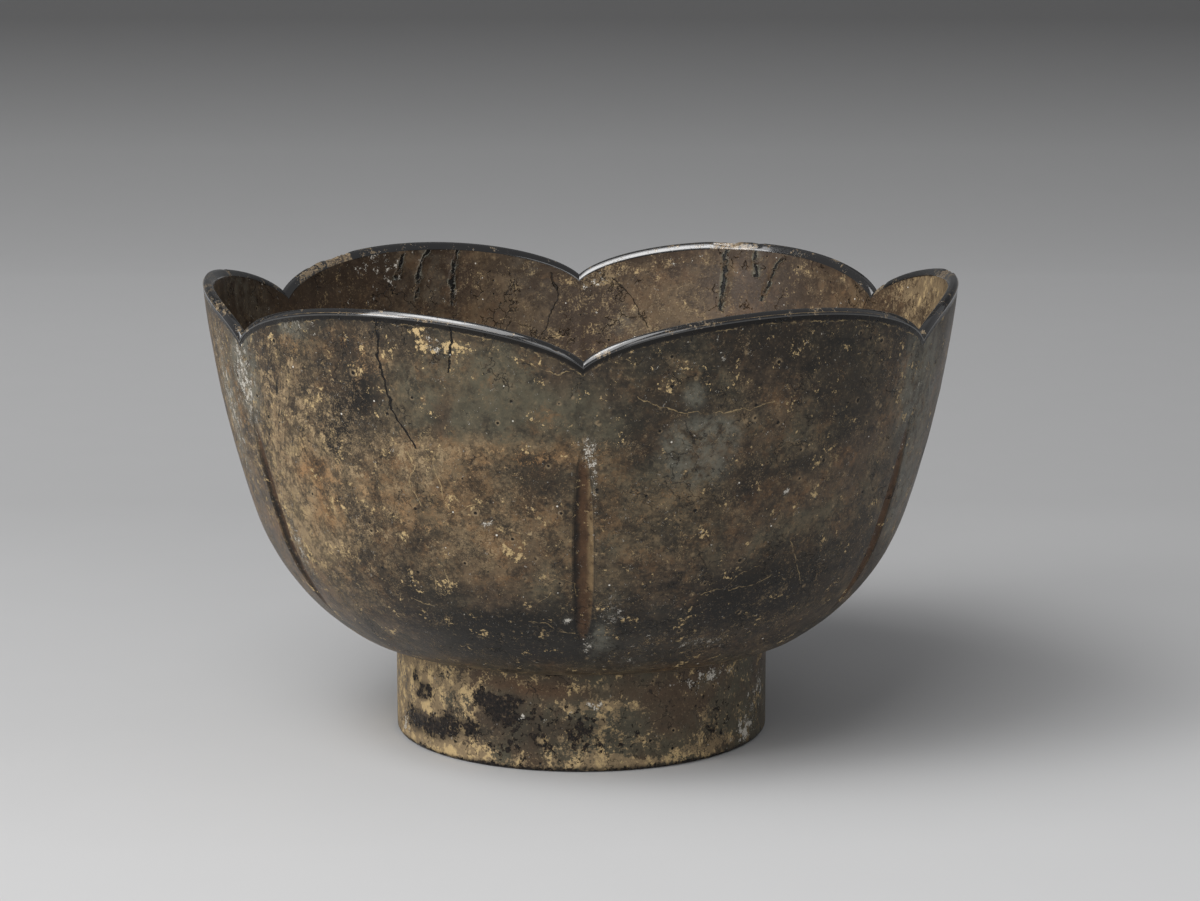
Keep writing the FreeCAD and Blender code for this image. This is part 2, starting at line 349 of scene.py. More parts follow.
def edge_on(shape, outline, turn, drop):
    """The height of the rim's edge, less drop, where it crosses an outline."""
    radius = np.full_like(turn, shape.rim_radius)
    for _ in range(EDGE_ROUNDS):
        height = edge_height(shape, radius, turn) - drop
        radius = outline.radius_at(height)
    return height


# How the finer parts of a wandering value shrink, and how many times finer each is
WANDER_FADE = 0.9
WANDER_TIMES = 2.0


def wander(places, scale, octaves=4, shift=0.0):
    """Smooth noise between about -1 and 1 at each place."""
    spots = places * scale + shift
    return np.array([noise.fractal(Vector(spot), WANDER_FADE, WANDER_TIMES, octaves) for spot in spots])


def turn_from(turn, degrees):
    """How far each turn is past a turn given in degrees, the short way round."""
    return (turn - math.radians(degrees) + math.pi) % (2 * math.pi) - math.pi


def soft_spot(turn, height, places, radius):
    """The sum of some soft spots: turn, height, half width and half height in millimetres, and strength."""
    total = np.zeros_like(turn)
    for centre, level, half_width, half_height, strength in places:
        across = turn_from(turn, centre) * radius / (half_width * MILLIMETRE)
        up = (height / MILLIMETRE - level) / half_height
        total += strength * np.exp(-(across**2) - up**2)
    return total


SPOT_RADIUS = 80 * MILLIMETRE
SEAM_REACH = 0.01 * MILLIMETRE


def turned_shell(name, section, steps, sectors, closed):
    """A shell in an unrolled form: the section's points are turned round the axis, and keep their numbers.

    The section is a list of (row, depth) pairs. A closed one is a ring's, and an open one starts and ends on
    the axis. One sector is spun and its copies are joined to it. What comes back is the mesh and, for each
    vertex, its row, depth and turn.
    """
    bm = bmesh.new()
    row_layer = bm.verts.layers.float.new("row")
    depth_layer = bm.verts.layers.float.new("depth")
    verts = []
    for row, depth in section:
        vert = bm.verts.new((row + (1 if closed else 0), 0, -depth))
        vert[row_layer] = row
        vert[depth_layer] = depth
        verts.append(vert)
    edges = [bm.edges.new(pair) for pair in zip(verts, verts[1:])]
    if closed:
        edges.append(bm.edges.new((verts[-1], verts[0])))
    sector = 2 * math.pi / sectors
    inputs = {"axis": (0, 0, 1), "cent": (0, 0, 0), "angle": sector, "steps": steps // sectors}
    bmesh.ops.spin(bm, geom=verts + edges, use_merge=False, **inputs)
    first = bm.verts[:] + bm.edges[:] + bm.faces[:]
    for number in range(1, sectors):
        copies = bmesh.ops.duplicate(bm, geom=first)["geom"]
        moved = [item for item in copies if isinstance(item, bmesh.types.BMVert)]
        bmesh.ops.rotate(bm, verts=moved, cent=(0, 0, 0), matrix=Matrix.Rotation(sector * number, 3, "Z"))
    bmesh.ops.remove_doubles(bm, verts=bm.verts, dist=SEAM_REACH)
    mesh = bpy.data.meshes.new(name)
    bm.to_mesh(mesh)
    bm.free()
    count = len(mesh.vertices)
    spots = np.zeros(count * 3)
    mesh.vertices.foreach_get("co", spots)
    spots = spots.reshape(-1, 3)
    turn = np.arctan2(spots[:, 1], spots[:, 0])
    levels = []
    for layer in ("row", "depth"):
        levels.append(np.zeros(count))
        mesh.attributes[layer].data.foreach_get("value", levels[-1])
        mesh.attributes.remove(mesh.attributes[layer])
    return mesh, *levels, turn


def crowd_to_notches(shape, turn, crowding):
    """Turns drawn towards the notches, where the channels need a finer mesh."""
    lobe = 2 * math.pi / shape.lobe_count
    share = turn / lobe
    return lobe * (share - crowding * np.sin(2 * math.pi * share) / (2 * math.pi))


def place_on(mesh, radius, turn, height):
    """Sets every vertex from its radius, turn and height."""
    angle = turn - math.pi / 2
    spots = np.stack([radius * np.cos(angle), radius * np.sin(angle), height], axis=1)
    mesh.vertices.foreach_set("co", spots.ravel())
    mesh.update()
    return spots


def read_whole(items, name):
    """One whole number of each item, as an array."""
    values = np.zeros(len(items), dtype=int)
    items.foreach_get(name, values)
    return values


def lay_map(mesh, turn, along, reference_radius):
    """The surface's own map in metres: round the bowl from the front notch, and along the section."""
    corner = read_whole(mesh.loops, "vertex_index")
    total = read_whole(mesh.polygons, "loop_total")
    start = read_whole(mesh.polygons, "loop_start")
    face = np.repeat(np.arange(len(total)), total)
    around = turn[corner]
    highest = np.maximum.reduceat(around, start)
    around = np.where(around < highest[face] - math.pi, around + 2 * math.pi, around)
    layer = mesh.uv_layers.new(name="surface")
    layer.data.foreach_set("uv", np.stack([around * reference_radius, along[corner]], axis=1).ravel())


def lay_masks(mesh, name, *levels):
    """Up to four soft masks, which the materials read as one colour attribute. The rest are zero."""
    masks = mesh.attributes.new(name, "FLOAT_COLOR", "POINT")
    values = np.zeros((len(mesh.vertices), 4), dtype=np.float32)
    values[:, : len(levels)] = np.stack(levels, axis=1)
    masks.data.foreach_set("color", values.ravel())


SHARP_ANGLE = 50


def finish_piece(mesh, node, material):
    """Turns the faces outward, rounds the shading and puts the piece in the frame in the node's place."""
    bm = bmesh.new()
    bm.from_mesh(mesh)
    bmesh.ops.recalc_face_normals(bm, faces=bm.faces)
    bm.to_mesh(mesh)
    bm.free()
    mesh.shade_smooth()
    mesh.set_sharp_from_angle(angle=math.radians(SHARP_ANGLE))
    mesh.materials.append(material)
    piece = bpy.data.objects.new(mesh.name, mesh)
    bpy.context.scene.collection.objects.link(piece)
    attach(piece, ROOT)
    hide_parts(node)


class Nodes:
    """Adds nodes to a tree. A value given to a socket may be a number or another socket."""

    def __init__(self, tree):
        self.tree = tree

    def add(self, kind, inputs, **settings):
        node = self.tree.nodes.new(kind)
        for name, value in settings.items():
            setattr(node, name, value)
        for name, value in inputs.items():
            self.feed(node.inputs[name], value)
        return node

    def feed(self, socket, value):
        if isinstance(value, bpy.types.NodeSocket):
            self.tree.links.new(value, socket)
        else:
            socket.default_value = value

    def math(self, operation, *values):
        node = self.add("ShaderNodeMath", dict(enumerate(values)), operation=operation)
        return node.outputs[0]

    def joined(self, operation, values):
        total = values[0]
        for value in values[1:]:
            total = self.math(operation, total, value)
        return total

    def sum_of(self, *values):
        return self.joined("ADD", values)

    def product(self, *values):
        return self.joined("MULTIPLY", values)

    def highest(self, *values):
        return self.joined("MAXIMUM", values)

    def scaled(self, value, factor, offset=0.0):
        return self.math("MULTIPLY_ADD", value, factor, offset)

    def centred(self, value, reach):
        """A value of 0 to 1 spread out from less than zero, -reach, to reach."""
        return self.scaled(value, 2 * reach, -reach)

    def weighted(self, *pairs):
        """The sum of some values, each times its own factor."""
        return self.sum_of(*(self.scaled(value, factor) for value, factor in pairs))

    def vector(self, operation, *values, output="Vector", scale=None):
        node = self.add("ShaderNodeVectorMath", dict(enumerate(values)), operation=operation)
        if scale is not None:
            self.feed(node.inputs["Scale"], scale)
        return node.outputs[output]

    def between(self, value, low, high, soft=True):
        """0 below low and 1 above high. With low above high it falls."""
        inputs = {"Value": value, "From Min": low, "From Max": high}
        node = self.add("ShaderNodeMapRange", inputs, interpolation_type="SMOOTHSTEP" if soft else "LINEAR")
        return node.outputs["Result"]

    def noise(self, place, scale, detail=4.0, roughness=0.55, distortion=0.0):
        inputs = {"Vector": place, "Scale": scale, "Detail": detail, "Roughness": roughness}
        inputs["Distortion"] = distortion
        return self.add("ShaderNodeTexNoise", inputs).outputs["Fac"]

    def stretched(self, place, scale):
        """The place scaled along its axes."""
        sockets = {"Vector": place, "Scale": scale}
        return self.add("ShaderNodeMapping", sockets, vector_type="POINT").outputs[0]

    def turned(self, place, angle):
        """The place turned in the surface."""
        inputs = {"Vector": place, "Angle": angle}
        return self.add("ShaderNodeVectorRotate", inputs, rotation_type="Z_AXIS").outputs[0]

    def mix(self, mask, below, above):
        node = self.add("ShaderNodeMix", {0: mask, 6: below, 7: above}, data_type="RGBA")
        return node.outputs[2]

    def level(self, mask, below, above):
        return self.add("ShaderNodeMix", {0: mask, 2: below, 3: above}, data_type="FLOAT").outputs[0]

    def shade(self, colour_socket, factor):
        """The colour made darker or lighter by a factor that changes over the surface."""
        return self.vector("SCALE", colour_socket, scale=factor)

    def group(self, tree, **inputs):
        node = self.tree.nodes.new("ShaderNodeGroup")
        node.node_tree = tree
        for name, value in inputs.items():
            self.feed(node.inputs[name.replace("_", " ")], value)
        return node.outputs


def new_group(name, inputs, outputs):
    """An empty shader group with named sockets: the helper to fill it, its inputs and its output node."""
    tree = bpy.data.node_groups.new(name, "ShaderNodeTree")
    for socket_name, kind, default in inputs:
        socket = tree.interface.new_socket(socket_name, in_out="INPUT", socket_type=f"NodeSocket{kind}")
        socket.default_value = default
    for socket_name in outputs:
        tree.interface.new_socket(socket_name, in_out="OUTPUT", socket_type="NodeSocketFloat")
    nodes = Nodes(tree)
    given = tree.nodes.new("NodeGroupInput").outputs
    result = tree.nodes.new("NodeGroupOutput").inputs
    return tree, nodes, given, result


# The noises of a ragged patch: how many times finer than its scale, detail and roughness
PATCH_NOISES = (("Broad", 1.0, 3, 0.5), ("Ragged", 4.6, 4, 0.6), ("Grit", 19.0, 2, 0.7))


def patches_group():
    """Ragged patches, such as worn places: three sizes of noise added to a lean, and cut off at zero."""
    inputs = [
        ("Place", "Vector", (0, 0, 0)),
        ("Lean", "Float", 0.0),
        ("Scale", "Float", 60.0),
        ("Broad", "Float", 1.0),
        ("Ragged", "Float", 0.8),
        ("Grit", "Float", 0.5),
        ("Soft", "Float", 0.08),
    ]
    tree, nodes, given, result = new_group("Ragged patches", inputs, ["Mask"])
    total = given["Lean"]
    for name, times, detail, roughness in PATCH_NOISES:
        level = nodes.noise(given["Place"], nodes.product(given["Scale"], times), detail, roughness)
        total = nodes.sum_of(total, nodes.product(nodes.math("SUBTRACT", level, 0.5), given[name]))
    low = nodes.product(given["Soft"], -1.0)
    nodes.feed(result["Mask"], nodes.between(total, low, given["Soft"]))
    return tree


def pits_group():
    """Scattered round pits: the pit itself, and the pale ring worn round it."""
    inputs = [
        ("Place", "Vector", (0, 0, 0)),
        ("Scale", "Float", 250.0),
        ("Share", "Float", 0.2),
        ("Size", "Float", 0.25),
    ]
    tree, nodes, given, result = new_group("Scattered pits", inputs, ["Pit", "Ring"])
    cells = nodes.add("ShaderNodeTexVoronoi", {"Vector": given["Place"], "Scale": given["Scale"]})
    chance = nodes.add("ShaderNodeSeparateColor", {0: cells.outputs["Color"]}).outputs
    kept = nodes.math("LESS_THAN", chance[0], given["Share"])
    radius = nodes.product(given["Size"], nodes.scaled(chance[1], 0.7, 0.3))
    share = nodes.math("DIVIDE", cells.outputs["Distance"], radius)
    pit = nodes.product(nodes.between(share, 1.0, 0.6), kept)
    ring = nodes.product(nodes.between(share, 2.2, 1.1), kept)
    nodes.feed(result["Pit"], pit)
    nodes.feed(result["Ring"], nodes.math("SUBTRACT", ring, pit))
    return tree


def streaks_group():
    """Fine streaks in one direction of the surface's map, such as brush lines or upright grain."""
    inputs = [
        ("Place", "Vector", (0, 0, 0)),
        ("Stretch", "Vector", (1, 1, 1)),
        ("Turn", "Float", 0.0),
    ]
    tree, nodes, given, result = new_group("Streaks", inputs, ["Level"])
    place = nodes.vector("MULTIPLY", nodes.turned(given["Place"], given["Turn"]), given["Stretch"])
    nodes.feed(result["Level"], nodes.noise(place, 1.0, 5, 0.65, 0.3))
    return tree


def crackle_group():
    """Short fine cracks: the wavering edges of cells, where a broad noise is above a level."""
    inputs = [
        ("Place", "Vector", (0, 0, 0)),
        ("Scale", "Float", 150.0),
        ("Width", "Float", 0.02),
        ("Level", "Float", 0.5),
    ]
    tree, nodes, given, result = new_group("Fine cracks", inputs, ["Mask"])
    inputs = {"Vector": given["Place"], "Scale": CRACK_SWAY_SCALE, "Detail": 4.0}
    sway = nodes.add("ShaderNodeTexNoise", inputs).outputs["Color"]
    place = nodes.vector("MULTIPLY_ADD", sway, (CRACK_SWAY,) * 3, given["Place"])
    inputs = {"Vector": place, "Scale": given["Scale"]}
    cells = nodes.add("ShaderNodeTexVoronoi", inputs, feature="DISTANCE_TO_EDGE")
    line = nodes.between(cells.outputs["Distance"], given["Width"], 0.0)
    broad = nodes.noise(given["Place"], CRACK_FIELD_SCALE, 4, 0.65)
    kept = nodes.between(nodes.math("SUBTRACT", broad, given["Level"]), 0.0, 0.05)
    nodes.feed(result["Mask"], nodes.product(line, kept))
    return tree


# How far the fine cracks sway, and the fineness of the sway and of the fields that they cover
CRACK_SWAY = 9 * MILLIMETRE
CRACK_SWAY_SCALE = 260.0
CRACK_FIELD_SCALE = 95.0

GROUP_MAKERS = {
    "crackle": crackle_group,
    "patches": patches_group,
    "pits": pits_group,
    "streaks": streaks_group,
}
groups = {}


def group(name):
    if name not in groups:
        groups[name] = GROUP_MAKERS[name]()
    return groups[name]


# How many times its waver a stroke sways from side to side, and the fineness of its sway and of its edge
STROKE_SWAY_TIMES = 9.0
STROKE_SWAY_SCALE = 210.0
STROKE_EDGE_SCALE = 900.0

# The share of a stroke's half width that is solid
STROKE_CORE_SHARE = 0.4


def opaque(tone):
    return (*tone, 1.0)


class Finish(Nodes):
    """A material being built: the places and zones that its layers read, and the colour they build up."""

    def __init__(self, name, colours=None):
        self.material = bpy.data.materials.new(name)
        self.material.use_nodes = True
        super().__init__(self.material.node_tree)
        self.shader = self.tree.nodes["Principled BSDF"]
        self.place = self.add("ShaderNodeTexCoord", {}).outputs["Object"]
        self.colours = colours
        self.toned = None

    def tone(self, name):
        """One of the bowl's colours, as a socket takes it."""
        return opaque(getattr(self.colours, name))

    def blend(self, mask, below, above):
        """One of the bowl's colours, and another where the mask is."""
        return self.mix(mask, self.tone(below), self.tone(above))

    def coat(self, tone, mask, strength=1.0):
        """Lays a tone over the colour where the mask is. The tone is a colour's name or a socket."""
        above = self.tone(tone) if isinstance(tone, str) else tone
        if strength != 1.0:
            mask = self.scaled(mask, strength)
        self.toned = self.mix(mask, self.toned, above)

    def done(self, roughness, height, bump_depth, **constants):
        self.feed(self.shader.inputs["Base Color"], self.toned)
        self.feed(self.shader.inputs["Roughness"], roughness)
        bump = self.add("ShaderNodeBump", {"Height": height, "Distance": bump_depth, "Strength": 1.0})
        self.feed(self.shader.inputs["Normal"], bump.outputs[0])
        for name, value in constants.items():
            self.shader.inputs[name.replace("_", " ")].default_value = value
        return self.material


SMALL_SCALE = 330.0
GRIT_SCALE = 1500.0
PIT_SCALE = 400.0
SPECK_SCALE = 560.0
SPECK_SIZE = 0.17


class Lacquer(Finish):
    """A finish of lacquer, which has painted zones and a map, fine grit, cracks and pits."""

    def __init__(self, name, colours, tones_scale):
        super().__init__(name, colours)
        self.surface = self.add("ShaderNodeUVMap", {}, uv_map="surface").outputs[0]
        self.wavy = self.noise(self.place, STROKE_EDGE_SCALE, 3, 0.6)
        self.swaying = self.noise(self.place, STROKE_SWAY_SCALE, 4, 0.6)
        self.tones = self.noise(self.place, tones_scale, 4, 0.6, 0.3)
        self.small = self.noise(self.place, SMALL_SCALE, 4, 0.66)
        self.grit = self.noise(self.place, GRIT_SCALE, 3, 0.7)

    def masks(self, name):
        """The four soft masks of a colour attribute."""
        attribute = self.add("ShaderNodeAttribute", {}, attribute_name=name)
        parts = self.add("ShaderNodeSeparateColor", {0: attribute.outputs["Color"]})
        return [*parts.outputs, attribute.outputs["Alpha"]]

    def patches(self, lean, scale, broad=1.0, ragged=0.8, grit=0.5, soft=0.08):
        inputs = {"Lean": lean, "Scale": scale, "Broad": broad, "Ragged": ragged, "Grit": grit, "Soft": soft}
        return self.group(group("patches"), Place=self.place, **inputs)["Mask"]

    def pits(self, scale, share, size):
        made = self.group(group("pits"), Place=self.place, Scale=scale, Share=share, Size=size)
        return made["Pit"], made["Ring"]

    def crackle(self, scale, width, level):
        inputs = {"Place": self.place, "Scale": scale, "Width": width, "Level": level}
        return self.group(group("crackle"), **inputs)["Mask"]

    def streaks(self, stretch, turn=0.0):
        inputs = {"Place": self.surface, "Stretch": (*stretch, 1.0), "Turn": turn}
        return self.group(group("streaks"), **inputs)["Level"]

    def stroke(self, spots, half_width, upright, waver):
        """A mask along one line through points on the surface's map, which run up it or else round it."""
        axes = self.add("ShaderNodeSeparateXYZ", {0: self.surface}).outputs
        ahead, aside = (1, 0) if upright else (0, 1)
        points = sorted(spots, key=lambda spot: spot[ahead])
        first, last = points[0][ahead], points[-1][ahead]
        low = min(spot[aside] for spot in points)
        reach = max(spot[aside] for spot in points) - low + MILLIMETRE
        places = [((spot[ahead] - first) / (last - first), (spot[aside] - low) / reach) for spot in points]
        share = self.add("ShaderNodeMapRange", {"Value": axes[ahead], "From Min": first, "From Max": last})
        bend = self.add("ShaderNodeFloatCurve", {"Value": share.outputs[0]})
        curve = bend.mapping.curves[0]
        curve.points[0].location = places[0]
        curve.points[1].location = places[-1]
        for place in places[1:-1]:
            curve.points.new(*place)
        for point in curve.points:
            point.handle_type = "VECTOR"
        bend.mapping.update()
        sway = self.centred(self.swaying, waver * STROKE_SWAY_TIMES * MILLIMETRE)
        middle = self.sum_of(self.scaled(bend.outputs[0], reach, low), sway)
        beside = self.math("ABSOLUTE", self.math("SUBTRACT", axes[aside], middle))
        wavering = self.centred(self.wavy, waver * MILLIMETRE)
        width = half_width * MILLIMETRE
        mask = self.between(self.sum_of(beside, wavering), width, width * STROKE_CORE_SHARE)
        after_start = self.math("GREATER_THAN", axes[ahead], first)
        before_end = self.math("LESS_THAN", axes[ahead], last)
        return self.product(before_end, after_start, mask)

    def strokes(self, outline, radius, lines, half_width, upright=True, waver=0.22):
        """A mask along several lines, each a list of turns and heights."""
        masks = []
        for line in lines:
            masks.append(self.stroke(outline.route(line, radius), half_width, upright, waver))
        return self.highest(*masks)

    def grain(self, pale, dark, where=1.0):
        """Fine pale and dark grains of two strengths, and a fine change of shade."""
        pale_grit = self.product(self.between(self.grit, 0.58, 0.70), where)
        dark_grit = self.product(self.between(self.grit, 0.41, 0.30), where)
        self.coat("tan", pale_grit, pale)
        self.coat("soot", dark_grit, dark)
        self.toned = self.shade(self.toned, self.scaled(self.small, 1.1, 0.45))

    def pitted(self, share, size, ring_strength, ring_where=1.0, pit_strength=1.0, specks=0.0):
        """Scattered pits with broken pale rings, and a share of white specks. Returns the pits."""
        pit, ring = self.pits(PIT_SCALE, share, size)
        ring = self.product(ring, self.between(self.small, 0.44, 0.60), ring_where)
        self.coat("tan", ring, ring_strength)
        self.coat("soot", pit, pit_strength)
        if specks:
            self.coat("chalk", self.pits(SPECK_SCALE, specks, SPECK_SIZE)[0])
        return pit


def bowl_outlines(shape):
    outer = Outline(shape.foot_radius - shape.lacquer_thickness, outer_arcs(shape))
    inner = Outline(0.0, inner_arcs(shape))
    return outer, inner


# The wall outside. Each soft spot is a turn, a height, a half width, a half height and a strength.
# The spot at turn -74, at the left edge, is paler partly as painted sheen.
WORN_AND_SHEEN_OUTSIDE = (
    (-62, 88, 16, 22, 0.20),
    (-74, 78, 9, 26, 0.22),
    (-46, 84, 11, 14, 0.16),
    (-50, 60, 20, 18, 0.21),
    (-50, 54, 12, 10, 0.22),
    (-30, 98, 7, 5, 0.10),
    (-17, 77.5, 20, 2.6, 0.26),
    (-29, 66, 22, 12, 0.17),
    (-12, 62, 12, 10, 0.08),
    (-2, 78, 7, 2.4, 0.16),
    (-3, 90, 20, 10, -0.20),
    (-24, 88, 12, 7, -0.10),
    (-12, 36, 26, 8, -0.18),
    (10, 62, 14, 12, 0.02),
    (4, 97, 4, 2.5, 0.14),
    (10, 91, 3, 2, 0.14),
    (50, 98, 4, 5, 0.12),
    (31, 90, 7, 5, 0.05),
    (20, 33, 22, 4, 0.06),
    (24, 50, 20, 10, -0.10),
    (24, 96, 24, 8, -0.12),
    (48, 72, 16, 14, -0.03),
)
# Dark spots. The band all round at 30 mm is painted shade under the belly, and the spots low on the front
# darken the belly towards the bottom.
DARK_AND_SHADED_OUTSIDE = (
    (-33, 94, 8, 10, 0.20),
    (-40, 78, 3.4, 3.2, 0.55),
    (-37, 83, 2.6, 4.4, 0.48),
    (-33, 88, 2.6, 4.4, 0.40),
    (-61, 70, 4, 22, 0.16),
    (-37, 62, 4, 4, 0.12),
    (-32, 45, 10, 5, 0.10),
    (-62, 96, 3, 6, -0.10),
    (-12, 37, 28, 6.5, 0.50),
    (8, 43, 12, 6, 0.06),
    (34, 46, 20, 8, 0.40),
    (24, 38, 22, 7, 0.20),
    (27, 72, 7, 5, 0.16),
    (30, 98, 30, 6, 0.16),
    (40, 88, 14, 9, 0.12),
    (8, 88, 9, 6, 0.06),
    (0, 30, 200, 3.0, 0.16),
    (-50, 92, 12, 9, 0.10),
    (-18, 62, 20, 12, -0.16),
    (-12, 90, 20, 9, -0.14),
    (12, 62, 14, 10, -0.08),
)
# Grey bloom. The spots at turns 60 and 66, at the right edge, and at -60 and -70, at the left edge, are
# painted sheen where the wall turns away.
BLOOM_AND_SHEEN_OUTSIDE = (
    (14, 80, 4, 4, 0.75),
    (19, 82, 6, 4, 0.80),
    (17, 75, 8, 6, 0.80),
    (15.5, 90, 2.6, 2.6, 0.9),
    (60, 88, 9, 14, 1.1),
    (66, 68, 6, 20, 0.9),
    (-60, 90, 7, 12, 1.0),
    (-70, 80, 6, 16, 0.7),
    (3, 36, 3, 4, 0.6),
    (-46, 101, 5, 3, 0.6),
)
SMOOTH_OUTSIDE = (
    (-12, 90, 20, 9, 1.0),
    (-24, 86, 10, 6, 0.7),
    (4, 86, 14, 12, 0.6),
    (28, 74, 24, 18, 0.4),
    (-12, 38, 24, 8, 0.5),
)
STREAKED_OUTSIDE = (
    (-52, 88, 10, 12, 1.0),
    (-58, 68, 12, 16, 0.8),
)
# The first two spots, at the left edge, are partly white crust and partly painted sheen.
CRUSTED_AND_SHEEN_OUTSIDE = (
    (-60.5, 88, 4.2, 10, 0.66),
    (-70, 78, 5, 18, 0.46),
    (-45, 102.5, 5, 1.8, 0.55),
    (0.8, 78.5, 1.6, 3.2, 0.75),
    (1.6, 71, 0.7, 8, 0.45),
    (-14.5, 62.3, 1.1, 1.0, 0.9),
    (5, 43, 3, 4, 0.42),
    (-2.8, 40.5, 1.4, 0.9, 0.8),
    (1, 34, 1.6, 2.6, 0.5),
    (24, 33, 9, 1.6, 0.40),
    (10, 29, 6, 1.0, 0.40),
    (-20, 100, 2.0, 2.2, 0.5),
    (19.5, 98, 1.2, 1.2, 0.5),
    (32.2, 67.5, 0.7, 0.7, 1.2),
    (60, 84, 4, 10, 0.28),
    (-56, 52, 2.4, 9, 0.45),
)
BARE_OUTSIDE = (
    (-22.2, 99.8, 1.7, 2.4, 1.0),
    (-18.6, 99.6, 2.0, 2.0, 0.9),
    (-17.2, 96.6, 1.5, 1.6, 0.55),
    (-50, 99, 1.0, 1.4, 0.7),
    (-11, 92, 0.7, 0.7, 0.9),
    (-58, 56, 1.6, 5, 0.6),
    (-54, 48, 1.6, 5, 0.5),
    (-24.5, 49, 3.2, 3.2, 0.38),
)

# Where the channels' right side takes cream: partly scabs of ground, partly a painted highlight.
SCABS_AND_HIGHLIGHT_OUTSIDE = (
    (0, 60, 6, 24, 1.0),
    (-60, 56, 6, 18, 0.9),
    (120, 58, 6, 22, 0.8),
    (180, 58, 6, 22, 0.6),
)

CRACKS_OUTSIDE = (
    ((-29.2, 105), (-28.9, 100.7), (-29.2, 96), (-28.6, 91.4), (-27.8, 86.6), (-26.4, 82.3), (-24.6, 77.9)),
    ((-18.4, 104), (-18.3, 99), (-18.5, 94.4)),
    ((118, 104), (119, 98), (118, 91), (120, 84), (119, 79)),
    ((-142, 105), (-143, 97), (-141, 88)),
    ((151, 106), (150, 99), (151.5, 93)),
    ((-98, 103), (-97, 96), (-98.5, 90), (-96, 83)),
)
HAIRLINES_UPRIGHT = (
    ((-26.5, 78.5), (-25.7, 74), (-26.6, 70), (-25.0, 65.5)),
    ((-22.5, 76), (-21.2, 70), (-20.4, 65)),
    ((-4.6, 50.4), (-6.6, 48.6), (-5.6, 46.4), (-7.8, 44.8)),
    ((-3.4, 50.4), (-1.2, 49.2), (-0.9, 46)),
    ((-25.4, 51.5), (-24.8, 49), (-25.2, 46)),
    ((-22.8, 51.5), (-22.6, 48.4), (-22.4, 46.2)),
    ((35, 56), (38, 50), (41, 45)),
    ((72, 60), (70, 52), (73, 45)),
    ((-110, 66), (-108, 60), (-111, 54)),
    ((166, 62), (168, 55), (165, 50)),
)
HAIRLINES_LEVEL = (
    ((-21, 63.6), (-18.4, 65.2), (-15.6, 67.4)),
    ((-8.6, 98), (-6.0, 96.4), (-3.6, 94.8), (-1.8, 95.6)),
    ((-9.6, 39.9), (-6.6, 39.4), (-4.0, 37.6), (-1.4, 37.2)),
    ((-25.4, 46.0), (-24, 45.6), (-22.6, 46.2)),
    ((-31, 43.6), (-28.6, 42.6), (-26.4, 42.2)),
    ((7.4, 89.4), (10.6, 87.6), (13.6, 86.4), (20, 85.9), (24, 86.2), (28, 87.6)),
    ((20, 45), (24, 47), (27, 50), (30.5, 52)),
    ((25, 46), (29, 46.4), (33, 48.4)),
    ((96, 74), (102, 76), (109, 75)),
    ((-130, 58), (-124, 60), (-119, 59)),
    ((172, 82), (178, 84), (179.5, 83.6)),
)
RIM_HAIRLINE_DROP = 1.2


# The gloss of worn lacquer and of the rim, and the depth of the relief in their grain
WORN_GLOSS = 0.26
RIM_GLOSS = {"Specular_IOR_Level": 0.5, "Coat_IOR": 1.65, "Coat_Weight": 1.0, "Coat_Roughness": 0.05}
LACQUER_RELIEF = 0.16 * MILLIMETRE
RIM_RELIEF = 0.12 * MILLIMETRE
CORE_RELIEF = 0.1 * MILLIMETRE


